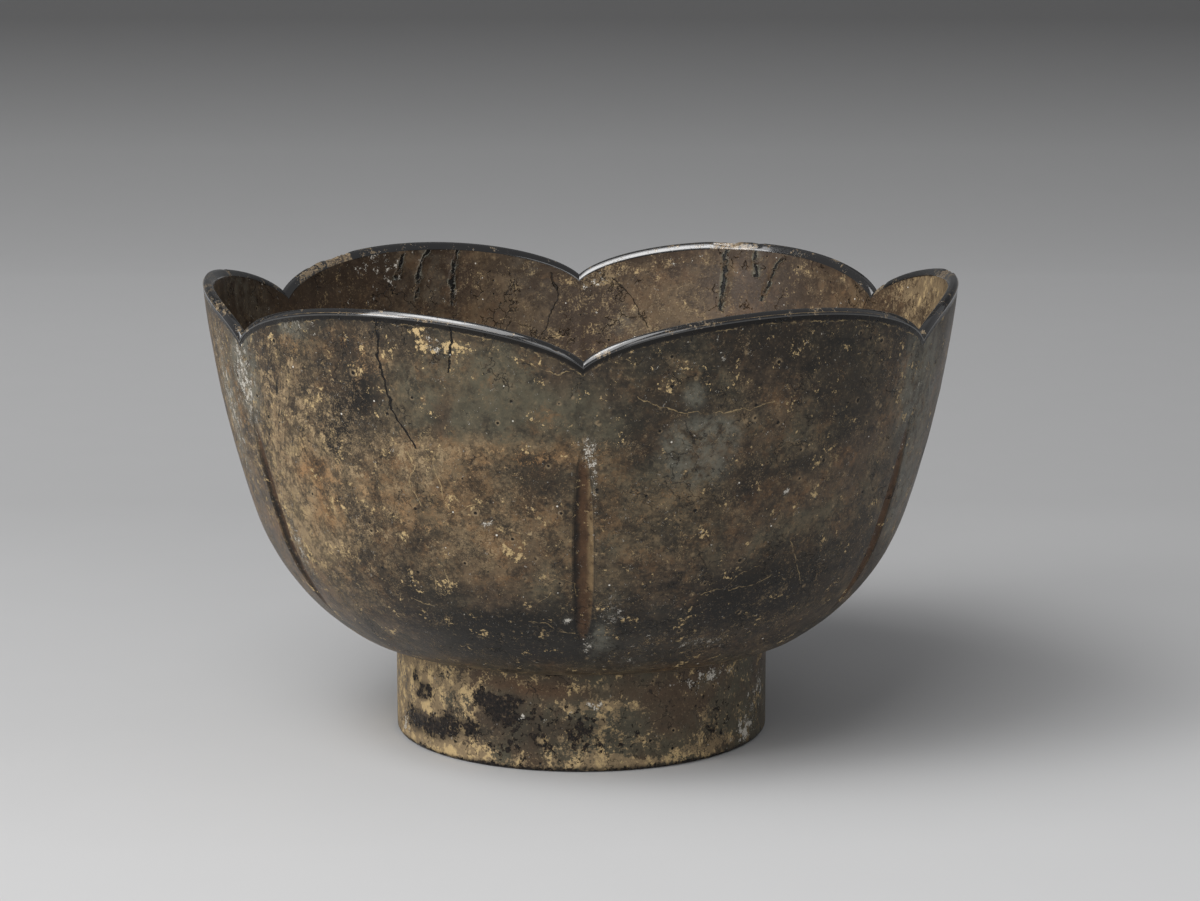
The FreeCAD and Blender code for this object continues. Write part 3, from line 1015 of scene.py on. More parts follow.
def outside_finish(shape, colours, outline):
    """Worn lacquer: olive and brown, black where it is sound, tan where it is worn through, with painted
    sheen at its left and right edges, painted shade low under the belly and along its channels, and a painted
    highlight in them.
    """
    finish = Lacquer("outer_lacquer", colours, 48.0)
    between, scaled, product = finish.between, finish.scaled, finish.product
    tones, small, wavy = finish.tones, finish.small, finish.wavy
    # The zones' bloom holds painted sheen at the left and right edges, and their dark holds painted shade low
    # under the belly.
    worn_lean, dark_lean, bloom_lean, smooth = finish.masks("zones")
    streak_zone, crust_zone, bare_zone, below_rim = finish.masks("marks")
    channel, channel_side, scab_and_highlight_zone, _ = finish.masks("channel")
    sharp = scaled(smooth, -0.55, 1.0)
    haze_tones = finish.noise(finish.place, 420.0, 5, 0.72)
    tan_tones = finish.noise(finish.place, 240.0, 4, 0.7)

    # Brown and olive, with lacquer rubbed thin
    toward_olive = between(finish.sum_of(tones, scaled(smooth, 0.16)), 0.42, 0.62)
    finish.toned = finish.blend(toward_olive, "brown", "olive")
    rubbed = finish.patches(scaled(worn_lean, 1.2, -0.02), 50.0, 0.9, 0.7, 0.5, 0.30)
    finish.coat("rubbed", rubbed, 0.72)
    bleached = between(finish.sum_of(worn_lean, finish.centred(small, 0.15)), 0.16, 0.50)
    finish.coat("tan", bleached, 0.50)
    rust = finish.patches(scaled(worn_lean, 0.5, -0.10), 110.0, soft=0.16)
    finish.coat("ochre", rust, 0.34)

    # Sound black lacquer and its smears, and painted shade in a band low under the belly
    dark = finish.patches(dark_lean, 52.0, 0.9, 0.8, 0.5, 0.20)
    finish.coat("black", dark, 0.80)
    finish.coat("soot", between(dark_lean, 0.12, 0.36), 0.72)
    smear = finish.streaks((34.0, 330.0), 0.04)
    smeared = product(between(smear, 0.50, 0.64), between(dark_lean, -0.10, 0.16))
    finish.coat("black", smeared, 0.60)

    # Places worn to the ground, mottled with what lacquer is left
    worn = finish.patches(scaled(worn_lean, 1.0, -0.25), 170.0, 0.9, 0.9, 1.2, 0.14)
    flecks = finish.patches(scaled(worn_lean, 1.1, -0.28), 520.0, 1.0, 0.8, 0.0, 0.06)
    worn_all = finish.highest(scaled(worn, 0.56), product(flecks, sharp))
    tan = finish.blend(between(tan_tones, 0.5, 0.74), "tan", "cream")
    tan = finish.mix(scaled(between(tones, 0.5, 0.68), 0.7), tan, finish.tone("ochre"))
    finish.coat(tan, worn_all)
    mottled = finish.patches(scaled(worn_lean, 0.25, -0.11), 270.0, 1.1, 1.0, 0.7, 0.12)
    finish.coat("black", product(scaled(mottled, 0.66), sharp))
    streak = between(finish.streaks((1500.0, 170.0), 0.42), 0.53, 0.62)
    finish.coat("black", product(streak, streak_zone), 0.85)
    # Grey bloom, which at the wall's left and right edges is painted sheen
    haze = product(between(bloom_lean, 0.15, 0.7), between(haze_tones, 0.34, 0.62))
    finish.coat("bloom", haze, 0.74)
    finish.grain(0.42, 0.70, sharp)

    # The channels: umber on their left side as painted shade, cream on their right side that is partly scabs
    # of ground and partly a painted highlight, and black along their lips as painted shade
    across = finish.sum_of(channel_side, finish.centred(small, 0.25))
    in_channel = finish.blend(between(across, 0.14, 0.44), "umber", "rust")
    scabs_and_highlight = product(between(across, 0.60, 0.84), between(haze_tones, 0.34, 0.50), scab_and_highlight_zone)
    in_channel = finish.mix(scaled(scabs_and_highlight, 0.46), in_channel, finish.tone("cream"))
    in_channel = finish.shade(in_channel, scaled(haze_tones, 1.6, -0.20))
    sunk = between(finish.sum_of(channel, finish.centred(small, 0.12)), 0.02, 0.34)
    finish.coat(in_channel, sunk, 0.9)
    # Painted shade along the channels' lips
    painted_lip_shade = product(between(channel, 0.0, 0.04), between(channel, 0.20, 0.06))
    finish.coat("soot", product(painted_lip_shade, small))

    # Bare ground, dust and crust; at the wall's left edge the dust and crust are partly painted sheen
    bare = finish.patches(scaled(bare_zone, 0.7, -0.40), 260.0, 1.7, 1.5, 0.6, 0.04)
    finish.coat("cream", bare)
    dusty = product(between(crust_zone, 0.05, 0.7), between(haze_tones, 0.40, 0.64))
    finish.coat("bloom", dusty, 0.5)
    crust = finish.patches(scaled(crust_zone, 0.55, -0.36), 760.0, 1.1, 1.3, 0.0, 0.08)
    finish.coat("chalk", crust, 0.80)

    # The black band under the rim, and the lines
    rim_band = between(finish.sum_of(below_rim, finish.centred(wavy, 0.45)), 1.4, 0.7)
    below_band = scaled(rim_band, -1.0, 1.0)
    finish.coat("soot", rim_band, 0.92)
    rim_line = finish.sum_of(below_rim, finish.centred(wavy, 0.7), finish.centred(tones, 1.2))
    rim_line = finish.math("ABSOLUTE", scaled(rim_line, 1.0, -RIM_HAIRLINE_DROP))
    rim_line = product(between(rim_line, 0.20, 0.06), between(tan_tones, 0.46, 0.58))
    radius = shape.rim_radius
    cracks = finish.strokes(outline, radius, CRACKS_OUTSIDE, 0.34)
    up_lines = finish.strokes(outline, radius, HAIRLINES_UPRIGHT, 0.20)
    level_lines = finish.strokes(outline, radius, HAIRLINES_LEVEL, 0.14, upright=False)
    hairlines = finish.highest(up_lines, level_lines, rim_line)
    hairlines = product(hairlines, between(haze_tones, 0.36, 0.52), below_band)
    finish.coat("cream", hairlines, 0.52)
    finish.coat("soot", cracks)
    crackle = finish.crackle(150.0, 0.022, 0.53)
    finish.coat("soot", crackle, 0.75)
    finish.coat("tan", finish.crackle(95.0, 0.010, 0.61), 0.45)
    pit = finish.pitted(0.22, 0.21, 0.60, below_band, pit_strength=0.95, specks=0.045)

    roughness = finish.level(worn_all, scaled(tones, 0.34, 0.22), 0.60)
    roughness = finish.level(rim_band, roughness, 0.16)
    roughness = finish.level(crust, roughness, 0.85)
    height = finish.weighted(
        (finish.grit, 0.35),
        (small, 0.5),
        (worn_all, -0.45),
        (crust, 0.7),
        (bare, 0.4),
        (pit, -1.2),
        (cracks, -1.6),
        (hairlines, 0.5),
        (crackle, -0.8),
    )
    return finish.done(roughness, height, LACQUER_RELIEF, Specular_IOR_Level=WORN_GLOSS)


# Worn places in the bowl. The spots at turns 92 and 106, on the inner face of the right lobe that faces the
# light, are partly wear and partly painted light; the negative spots at -104 and -140 keep the shaded left
# darker.
WORN_AND_LIT_INSIDE = (
    (176, 95, 9, 6, 0.36),
    (-172, 92, 6, 5, 0.10),
    (160, 97, 8, 5, 0.14),
    (92, 96, 14, 10, 0.70),
    (106, 97, 8, 8, 0.40),
    (168, 86, 12, 8, 0.05),
    (140, 92, 12, 6, 0.06),
    (-104, 98, 10, 6, -0.10),
    (-140, 95, 20, 8, -0.10),
)
# Dark places in the bowl. The spots at turns -106 and -138, on the inner faces of the left that turn from the
# light, are partly dark lacquer and partly painted shade; the negative one at 92 lightens the lit right lobe.
DARK_AND_SHADED_INSIDE = (
    (-170, 100, 9, 2.6, 0.55),
    (-166, 96, 5, 3, 0.20),
    (-138, 96, 18, 8, 0.20),
    (-106, 96, 12, 10, 0.14),
    (179, 84, 2.5, 7, 0.30),
    (155, 94, 14, 8, -0.14),
    (92, 94, 16, 10, -0.22),
    (40, 60, 30, 20, 0.06),
)
BLOOM_INSIDE = (
    (153, 96, 2.2, 9, 0.8),
    (147, 100, 2.0, 5, 0.8),
    (142, 95, 2.4, 7, 0.7),
    (172, 86, 9, 7, 0.5),
    (130, 95, 7, 5, 0.45),
)
STREAKED_INSIDE = (
    (95, 94, 14, 12, 0.62),
    (0, 60, 60, 20, 0.35),
    (-60, 70, 30, 20, 0.35),
)
CRUSTED_INSIDE = (
    (177, 94, 4, 4, 0.55),
    (-146, 97, 1.2, 3, 0.5),
    (-157, 95, 1.2, 4, 0.45),
    (96, 95, 1.2, 5, 0.45),
    (-172, 90, 5, 5, 0.35),
)
BLISTERS = (
    ((-147.2, 104), (-146.4, 101), (-146.0, 97.4)),
    ((-152.6, 105.5), (-151.0, 101), (-150.0, 96), (-149.6, 91.5)),
    ((-158.2, 106), (-157.0, 101), (-156.6, 96), (-156.0, 90)),
    ((152.6, 105), (152.8, 99.5), (153.0, 94), (153.4, 89)),
    ((147.2, 105), (147.0, 101), (146.6, 98)),
    ((141.0, 105), (142.6, 101.6), (143.8, 98), (145.6, 92)),
    ((66, 104.6), (67, 100), (66.4, 95)),
    ((-42, 104), (-41, 98), (-42.4, 92)),
    ((28, 105), (29, 100.4), (28.4, 95)),
    ((-84, 104), (-85, 99), (-84.2, 94)),
)
LINES_INSIDE = (
    ((-174.6, 98), (-176, 92), (-173.2, 82)),
    ((174, 96.6), (170, 91), (167.2, 84)),
    ((120, 97), (122, 92)),
    ((-60, 88), (-58, 74), (-61, 60)),
    ((10, 80), (13, 66), (11, 52)),
)


def inside_finish(shape, colours, outline):
    """Browner lacquer, blistered along upright cracks, worn to the ground at the back, and paler on its right
    and darker on its left, partly as painted light and shade.
    """
    finish = Lacquer("inner_lacquer", colours, 40.0)
    between, scaled, product = finish.between, finish.scaled, finish.product
    tones, small = finish.tones, finish.small
    worn_lean, dark_lean, bloom_lean, streak_zone = finish.masks("zones")
    crust_zone = finish.masks("marks")[0]
    finish.toned = finish.blend(between(tones, 0.40, 0.60), "inside_brown", "brown")
    finish.coat("rust", finish.patches(-0.06, 60.0, 0.9, 0.6, 0.3, 0.14), 0.45)
    dark = finish.patches(scaled(dark_lean, 1.0, -0.04), 56.0, 0.9, 0.7, 0.45, 0.12)
    finish.coat("inside_dark", dark, 0.8)
    worn = finish.patches(scaled(worn_lean, 1.0, -0.20), 110.0, 0.8, 1.0, 1.1, 0.14)
    finish.coat("tan", worn, 0.70)
    finish.coat("cream", product(worn, between(small, 0.50, 0.66)), 0.7)
    streak = between(finish.streaks((900.0, 60.0)), 0.50, 0.60)
    finish.coat("inside_dark", product(streak, streak_zone))
    haze = product(between(bloom_lean, 0.15, 0.8), between(small, 0.36, 0.6))
    finish.coat("bloom", haze, 0.55)
    finish.grain(0.35, 0.6)

    radius = shape.rim_radius
    lips = finish.strokes(outline, radius, BLISTERS, 1.20, waver=0.30)
    finish.coat("bloom", product(lips, between(small, 0.4, 0.6)))
    splits = finish.strokes(outline, radius, BLISTERS, 0.66, waver=0.30)
    splits = product(splits, between(small, 0.40, 0.52))
    lines = finish.strokes(outline, radius, LINES_INSIDE, 0.26, waver=0.25)
    crust = finish.patches(scaled(crust_zone, 0.62, -0.35), 560.0, 1.1, 0.9, 0.0, 0.05)
    finish.coat("chalk", crust, 0.85)
    crackle = scaled(finish.crackle(130.0, 0.025, 0.52), 0.7)
    cut = finish.highest(splits, scaled(lines, 0.75), crackle)
    finish.coat("soot", cut)
    pit = finish.pitted(0.16, 0.2, 0.50, specks=0.06)
    roughness = finish.level(worn, scaled(tones, 0.3, 0.26), 0.62)
    height = finish.weighted(
        (finish.grit, 0.35),
        (small, 0.5),
        (worn, -0.4),
        (lips, 0.8),
        (cut, -2.2),
        (crust, 0.6),
        (pit, -1.0),
    )
    return finish.done(roughness, height, LACQUER_RELIEF, Specular_IOR_Level=WORN_GLOSS)


def rim_finish(colours):
    """Glossy black lacquer, scuffed brown in places and broken to a crumbly ground in its chips."""
    finish = Lacquer("rim_lacquer", colours, 150.0)
    between, scaled = finish.between, finish.scaled
    chip, worn_lean, _, _ = finish.masks("zones")
    tones = finish.noise(finish.place, 150.0, 5, 0.6)
    finish.toned = finish.blend(between(tones, 0.5, 0.75), "soot", "black")
    scuff = finish.patches(scaled(worn_lean, 1.0, -0.20), 300.0, 1.0, 0.9, 0.3, 0.05)
    finish.coat("tan", scuff, 0.7)
    crumbs = finish.noise(finish.place, 1300.0, 4, 0.75)
    granular = finish.blend(between(crumbs, 0.42, 0.58), "inside_dark", "tan")
    broken = between(finish.sum_of(chip, finish.centred(crumbs, 0.3)), 0.28, 0.40)
    finish.coat(granular, broken)
    roughness = finish.level(broken, scaled(tones, 0.16, 0.04), 0.85)
    height = finish.weighted((tones, 0.3), (scuff, -0.5), (crumbs, 0.25))
    return finish.done(roughness, height, RIM_RELIEF, **RIM_GLOSS)


WORN_FOOT = (
    (-62, 15, 16, 9, 0.26),
    (-80, 10, 8, 9, 0.12),
    (-50, 2.5, 18, 2.2, 0.30),
    (-70, 4, 6, 5, 0.22),
    (0, 15, 10, 1.5, 0.22),
    (14, 1.8, 12, 1.4, 0.30),
    (40, 3, 14, 2, 0.10),
    (-4, 7, 6, 5, 0.05),
    (20, 12, 20, 7, -0.10),
    (-20, 11, 10, 6, -0.16),
)
DARK_FOOT = (
    (-61, 16.4, 1.6, 1.8, 0.55),
    (-57, 14.6, 1.4, 1.4, 0.55),
    (-53, 14.4, 1.4, 1.8, 0.50),
    (-58, 12.6, 2.6, 1.0, 0.40),
    (-30, 15.4, 2.6, 1.4, 0.50),
    (-25, 13.0, 3.4, 2.2, 0.55),
    (-21, 16.0, 3.0, 1.2, 0.35),
    (-62, 6.6, 4.4, 2.6, 0.55),
    (-52, 5.6, 4.6, 2.2, 0.55),
    (-44, 7.4, 3.6, 2.4, 0.55),
    (-35, 8.2, 3.6, 1.8, 0.50),
    (-18, 9, 9, 6, 0.22),
    (5, 9, 12, 6, 0.20),
    (42, 10, 14, 6, 0.10),
    # The last two spots darken a band all round the foot's bottom edge and another at its top, under the
    # body.
    (0, 0.2, 400, 0.9, 0.40),
    (0, 23.4, 400, 1.1, 0.30),
)
STAINED_FOOT = (
    (-22, 19.6, 8, 2.2, 1.0),
    (-10, 18.4, 6, 1.6, 0.7),
    (-40, 18, 9, 3, 0.5),
    (12, 18, 10, 2.0, 0.35),
)
CRUSTED_FOOT = (
    (60, 4, 4, 3.4, 0.60),
    (70, 12, 6, 6, 0.40),
    (40, 19, 14, 2.2, 0.40),
    (4, 15.4, 3, 1.0, 0.50),
    (-17.6, 12.4, 0.7, 0.7, 1.0),
    (-70, 4, 5, 3, 0.40),
)


FOOT_TABLES = (WORN_FOOT, DARK_FOOT, STAINED_FOOT, CRUSTED_FOOT)


def foot_finish(colours):
    """The foot: grey-brown lacquer, flaked off in crisp dark losses and rubbed to its ground low down."""
    finish = Lacquer("foot_lacquer", colours, 70.0)
    between, scaled, product = finish.between, finish.scaled, finish.product
    worn_lean, dark_lean, stain_zone, crust_zone = finish.masks("zones")
    finish.toned = finish.blend(between(finish.tones, 0.40, 0.60), "brown", "olive")
    finish.coat("rust", stain_zone, 0.55)
    worn = finish.patches(scaled(worn_lean, 1.0, -0.09), 85.0, 0.8, 1.0, 0.8, 0.06)
    finish.coat("tan", worn, 0.8)
    finish.coat("cream", product(worn, between(finish.small, 0.50, 0.58)), 0.8)
    finish.coat("black", between(dark_lean, 0.02, 0.34), 0.62)
    lost = finish.patches(scaled(dark_lean, 1.0, -0.30), 150.0, 0.8, 1.3, 0.5, 0.03)
    finish.coat("umber", lost)
    finish.coat("soot", product(lost, between(finish.grit, 0.52, 0.42)))
    finish.grain(0.45, 0.7)
    crust = finish.patches(scaled(crust_zone, 0.62, -0.34), 560.0, 1.1, 0.9, 0.0, 0.05)
    finish.coat("chalk", crust, 0.85)
    finish.coat("soot", finish.crackle(170.0, 0.03, 0.50), 0.8)
    pit = finish.pitted(0.26, 0.22, 0.55)
    roughness = finish.level(worn, 0.42, 0.7)
    reliefs = ((finish.grit, 0.35), (finish.small, 0.6), (lost, -1.4), (crust, 0.6), (pit, -1.0))
    height = finish.weighted(*reliefs)
    return finish.done(roughness, height, LACQUER_RELIEF, Specular_IOR_Level=WORN_GLOSS)


def recess_finish(colours):
    """The recess under the foot: dull dark lacquer, scuffed and dusty."""
    finish = Lacquer("recess_lacquer", colours, 60.0)
    worn_lean, dark_lean, _, _ = finish.masks("zones")
    finish.toned = finish.blend(finish.between(finish.tones, 0.40, 0.60), "umber", "brown")
    finish.coat("black", finish.patches(dark_lean, 70.0, soft=0.10), 0.7)
    worn = finish.patches(finish.scaled(worn_lean, 1.0, -0.12), 80.0, 0.8, 1.0, 0.8, 0.06)
    finish.coat("tan", worn, 0.75)
    finish.grain(0.4, 0.0)
    pit = finish.pitted(0.2, 0.22, 0.0)
    height = finish.weighted((finish.grit, 0.35), (worn, -0.4), (pit, -1.0))
    return finish.done(finish.level(worn, 0.5, 0.75), height, LACQUER_RELIEF)


DENT_DEPTH = 0.09 * MILLIMETRE
DENT_SCALE = 110.0
CHANNEL_FILL = 0.06 * MILLIMETRE
BLISTER_RISE = 0.32 * MILLIMETRE
BLISTER_HALF_WIDTH = 1.3 * MILLIMETRE
BLISTER_FADE = 3.0 * MILLIMETRE
BLISTER_RIM_SHARE = 0.2


def dented(spots, depth):
    """How far the outer face of a coat has sunk at each place. Its back stays where it is."""
    return (1 - depth) * DENT_DEPTH * np.clip(0.5 + wander(spots, DENT_SCALE, 3), 0, 1)


def blistered(turn, height, radius, below_rim):
    """How far the lacquer in the bowl has lifted along its blisters."""
    total = np.zeros_like(turn)
    for line in BLISTERS:
        turns, heights = np.array(line[::-1]).T
        middle = np.interp(height / MILLIMETRE, heights, np.radians(turns))
        away = (turn - middle + math.pi) % (2 * math.pi) - math.pi
        fade = np.clip((height - heights[0] * MILLIMETRE) / BLISTER_FADE, 0, 1)
        fade *= np.clip(below_rim / BLISTER_FADE, BLISTER_RIM_SHARE, 1)
        total += fade * BLISTER_RISE * np.exp(-((away * radius / BLISTER_HALF_WIDTH) ** 2))
    return total


def noise_share(turn, front_turn, front_share):
    """How much of the noise paints each turn: all behind, and a share in front, where spots are chosen."""
    return np.where(np.abs(turn) > math.radians(front_turn), 1.0, front_share)


# The wall's meshes: rows up the face and up its back, and how far the columns crowd to the notches
OUTSIDE_ROWS = 100
INSIDE_ROWS = 88
BACK_ROWS = 8
OUTSIDE_CROWDING = 0.5
OUTSIDE_COLUMNS = 900
INSIDE_COLUMNS = 960

# The noise that spreads the wear: its fineness, and a shift for each of its three fields
ZONE_SCALE = 24.0
ZONE_SHIFTS = (0.0, 5.0, 11.0)


class WallShell:
    """A coat of lacquer along the wall: where its vertices are before it is raised or sunk."""

    def __init__(self, name, shape, outline, rows, columns, closed, crowding=0.0):
        section = [(share, 0.0) for share in np.linspace(0, 1, rows)]
        section += [(share, 1.0) for share in np.linspace(1, 0, BACK_ROWS)]
        self.shape = shape
        self.mesh, row, self.depth, self.turn = turned_shell(name, section, columns, shape.lobe_count, closed)
        if crowding:
            self.turn = crowd_to_notches(shape, self.turn, crowding)
        top = outline.along_at(edge_on(shape, outline, self.turn, shape.rim_lacquer_width))
        self.along = row * top
        self.below_rim = top - self.along
        self.radius, self.height, self.slope = outline.follow(self.along)
        self.coat = self.depth * shape.lacquer_thickness
        self.beside = self.radius * np.sin(from_notch(shape, self.turn))
        self.dents = dented(place_on(self.mesh, self.radius, self.turn, self.height), self.depth)

    def sink(self, inset):
        """Moves each vertex square to the wall and lays the map. Returns the three fields of noise there."""
        radius = self.radius - inset * np.sin(self.slope)
        spots = place_on(self.mesh, radius, self.turn, self.height + inset * np.cos(self.slope))
        lay_map(self.mesh, self.turn, self.along, self.shape.rim_radius)
        return [wander(spots, ZONE_SCALE, shift=shift) for shift in ZONE_SHIFTS]

    def painted(self, places):
        return soft_spot(self.turn, self.height, places, SPOT_RADIUS)

    def near_rim(self, fade):
        """1 at the rim, falling off below it."""
        return np.exp(-self.below_rim / fade)


class BOWL_OT_outside(bpy.types.Operator):
    """Build the lacquer on the outside of the wall, with its channels"""

    bl_idname = "bowl.outside"
    bl_label = "Outer lacquer"

    def execute(self, context):
        shape = context.scene.bowl_shape
        outline = bowl_outlines(shape)[0]
        size = (OUTSIDE_ROWS, OUTSIDE_COLUMNS)
        wall = WallShell("outer_wall_lacquer", shape, outline, *size, closed=True, crowding=OUTSIDE_CROWDING)
        channel = groove(shape).height(wall.slope, wall.beside, wall.coat)
        in_channel = np.clip(channel / shape.groove_depth, 0, 1)
        inset = wall.coat + channel + wall.dents * (1 - in_channel)
        broad, other, third = wall.sink(inset - CHANNEL_FILL * in_channel * (1 - wall.depth))

        painted = wall.painted
        share = noise_share(wall.turn, front_turn=78, front_share=0.3)
        near_rim = wall.near_rim(3 * MILLIMETRE)
        # At the wall's left edge the worn and crusted spots are partly painted sheen.
        worn = 0.16 * broad * share + painted(WORN_AND_SHEEN_OUTSIDE) - 0.12 * near_rim
        # The dark spots hold painted shade in a band low under the belly.
        dark = 0.16 * other * share + painted(DARK_AND_SHADED_OUTSIDE) + 0.16 * near_rim
        # Bloom, with painted sheen at the wall's left and right edges
        bloom = np.maximum(0, 0.9 * third * share) + painted(BLOOM_AND_SHEEN_OUTSIDE)
        smooth = np.clip(np.maximum(0, -broad) * share + painted(SMOOTH_OUTSIDE), 0, 1)
        lay_masks(wall.mesh, "zones", worn, dark, bloom, smooth)
        streaked = painted(STREAKED_OUTSIDE) + np.maximum(0, broad * share)
        crusted = painted(CRUSTED_AND_SHEEN_OUTSIDE) + np.maximum(0, 0.5 * other * share - 0.05)
        bare = painted(BARE_OUTSIDE) + np.maximum(0, 0.9 * third * share - 0.25)
        lay_masks(wall.mesh, "marks", streaked, crusted, bare, wall.below_rim / MILLIMETRE)
        # Which side of its channel each place is on: the left side is painted as shade, the right side partly
        # as highlight.
        side = np.clip(wall.beside / shape.groove_width + 0.5, 0, 1)
        lay_masks(wall.mesh, "channel", channel / shape.groove_depth, side, painted(SCABS_AND_HIGHLIGHT_OUTSIDE))
        material = outside_finish(shape, context.scene.bowl_colours, outline)
        finish_piece(wall.mesh, "outer_lacquer", material)
        return {"FINISHED"}


class BOWL_OT_inside(bpy.types.Operator):
    """Build the lacquer in the bowl, with the raised lines over its seams and its blisters"""

    bl_idname = "bowl.inside"
    bl_label = "Inner lacquer"

    def execute(self, context):
        shape = context.scene.bowl_shape
        outline = bowl_outlines(shape)[1]
        wall = WallShell("inner_wall_lacquer", shape, outline, INSIDE_ROWS, INSIDE_COLUMNS, closed=False)
        raised = ridge(shape).height(wall.slope, wall.beside, -wall.coat)
        lifted = blistered(wall.turn, wall.height, wall.radius, wall.below_rim) * (1 - wall.depth)
        broad, other, third = wall.sink(raised - wall.coat + lifted - wall.dents)

        painted = wall.painted
        near_rim = wall.near_rim(2.5 * MILLIMETRE)
        # The worn spots on the right and the dark ones on the left are partly painted light and shade.
        worn = 0.12 * broad + painted(WORN_AND_LIT_INSIDE) - 0.1 * near_rim
        dark = 0.12 * other + painted(DARK_AND_SHADED_INSIDE) + 0.14 * near_rim
        bloom = np.maximum(0, 0.6 * third) + painted(BLOOM_INSIDE)
        lay_masks(wall.mesh, "zones", worn, dark, bloom, painted(STREAKED_INSIDE))
        lay_masks(wall.mesh, "marks", painted(CRUSTED_INSIDE) + np.maximum(0, 0.4 * other))
        material = inside_finish(shape, context.scene.bowl_colours, outline)
        finish_piece(wall.mesh, "inner_lacquer", material)
        return {"FINISHED"}


# The bends of the rim's edge from its side to its top: radius, lean at the end in degrees, and steps
BEAD_BENDS = ((0.43 * MILLIMETRE, 20, 3), (3.0 * MILLIMETRE, 42, 7), (0.5 * MILLIMETRE, 90, 5))


LEG_POINTS = 4


def bead_section(shape):
    """The rim's section: shares of the way across the wall, and drops below its edge, as a closed chain."""
    leg_drops = np.linspace(shape.rim_lacquer_width, shape.bead_height, LEG_POINTS)[:-1]
    leg = [(0.0, drop) for drop in leg_drops]
    bead = [(0.0, 0.0)]
    lean = 0.0
    for radius, end_lean, steps in BEAD_BENDS:
        start_in, start_up = bead[-1]
        for angle in np.linspace(lean, math.radians(end_lean), steps + 1)[1:]:
            inward = start_in + radius * (math.cos(lean) - math.cos(angle))
            bead.append((inward, start_up + radius * (math.sin(angle) - math.sin(lean))))
        lean = math.radians(end_lean)
    fit = shape.bead_height / bead[-1][1]
    bead = [(out * fit / shape.rim_thickness, shape.bead_height - up * fit) for out, up in bead]
    bead += [(1 - share, drop) for share, drop in reversed(bead)]
    far_leg = [(1.0, drop) for _, drop in reversed(leg)]
    coat = shape.lacquer_thickness / shape.rim_thickness
    under = [
        (1 - coat, shape.rim_lacquer_width),
        (1 - coat, shape.rim_lacquer_rise),
        (0.5, shape.rim_lacquer_rise),
        (coat, shape.rim_lacquer_rise),
        (coat, shape.rim_lacquer_width),
    ]
    return leg + bead + far_leg, under


# Chips in the rim: turn, half width and depth in millimetres
CHIPS = (
    (-134, 4.2, 0.75),
    (-128, 1.6, 0.4),
    (153.5, 3.6, 0.6),
    (147.5, 1.2, 0.3),
    (92, 4.4, 0.5),
    (33.5, 0.9, 0.3),
    (-69, 2.4, 0.35),
    (-3.5, 1.0, 0.25),
    (118, 2.2, 0.5),
    (-100, 1.4, 0.4),
)
RUBBED_RIM = (
    (-75, 105, 14, 8, 0.16),
    (-130, 105, 16, 8, 0.14),
    (150, 105, 18, 8, 0.10),
    (92, 105, 14, 8, 0.14),
    (34, 105, 2, 8, 0.20),
)


RIM_COLUMNS = 1440
RIM_CROWDING = 0.6
RIM_MAP_LENGTH = 8 * MILLIMETRE
CRUMB_SCALE = 500.0


class BOWL_OT_rim(bpy.types.Operator):
    """Build the glossy lacquer bead round the rim"""

    bl_idname = "bowl.rim"
    bl_label = "Rim lacquer"

    def execute(self, context):
        shape = context.scene.bowl_shape
        outer, inner = bowl_outlines(shape)
        front, under = bead_section(shape)
        section = front + under
        rows = [(number / len(section), float(number >= len(front))) for number in range(len(section))]
        shell = turned_shell("rim_lacquer_bead", rows, RIM_COLUMNS, shape.lobe_count, closed=True)
        mesh, row, depth, turn = shell
        turn = crowd_to_notches(shape, turn, RIM_CROWDING)
        number = np.rint(row * len(section)).astype(int)
        across, drop = np.array(section).T[:, number]
        chip = np.zeros_like(turn)
        for centre, half_width, deep in CHIPS:
            share = turn_from(turn, centre) * shape.rim_radius / (half_width * MILLIMETRE)
            chip = np.maximum(chip, deep * np.exp(-(share**4)))
        crumbled = np.stack([np.cos(turn), np.sin(turn), across], axis=1) * shape.rim_radius
        loss = chip * MILLIMETRE * np.clip(0.75 + 0.8 * wander(crumbled, CRUMB_SCALE, 3), 0.1, 1)
        on_top = 1 - np.clip(drop / shape.rim_lacquer_width, 0, 1)
        drop = drop + (1 - depth) * loss * on_top
        radius = np.full_like(turn, shape.rim_radius)
        for _ in range(EDGE_ROUNDS):
            height = edge_height(shape, radius, turn) - drop
            radius = outer.radius_at(height) * (1 - across) + inner.radius_at(height) * across
        spots = place_on(mesh, radius, turn, height)
        lay_map(mesh, turn, row * RIM_MAP_LENGTH, shape.rim_radius)
        rubbed = 0.10 * wander(spots, 60.0) + soft_spot(turn, height, RUBBED_RIM, shape.rim_radius)
        lay_masks(mesh, "zones", chip, rubbed)
        finish_piece(mesh, "rim_lacquer", rim_finish(context.scene.bowl_colours))
        return {"FINISHED"}


# The foot's meshes: points round its low edge, up its side and across its ceiling, and columns
EDGE_POINTS = 7
SIDE_POINTS = 42
CEILING_POINTS = 30
FOOT_COLUMNS = 900
RECESS_COLUMNS = 360


def foot_face(shape, side_at, facing, top):
    """One face of the foot, from its low edge up: radius, height, and the way out of the lacquer there."""
    edge = shape.foot_edge
    points = []
    for angle in np.linspace(0, math.pi / 2, EDGE_POINTS):
        out, down = facing * math.sin(angle), -math.cos(angle)
        points.append((side_at - facing * edge + out * edge, edge + down * edge, out, down))
    return points + [(side_at, height, facing, 0.0) for height in np.linspace(edge, top, SIDE_POINTS)[1:]]


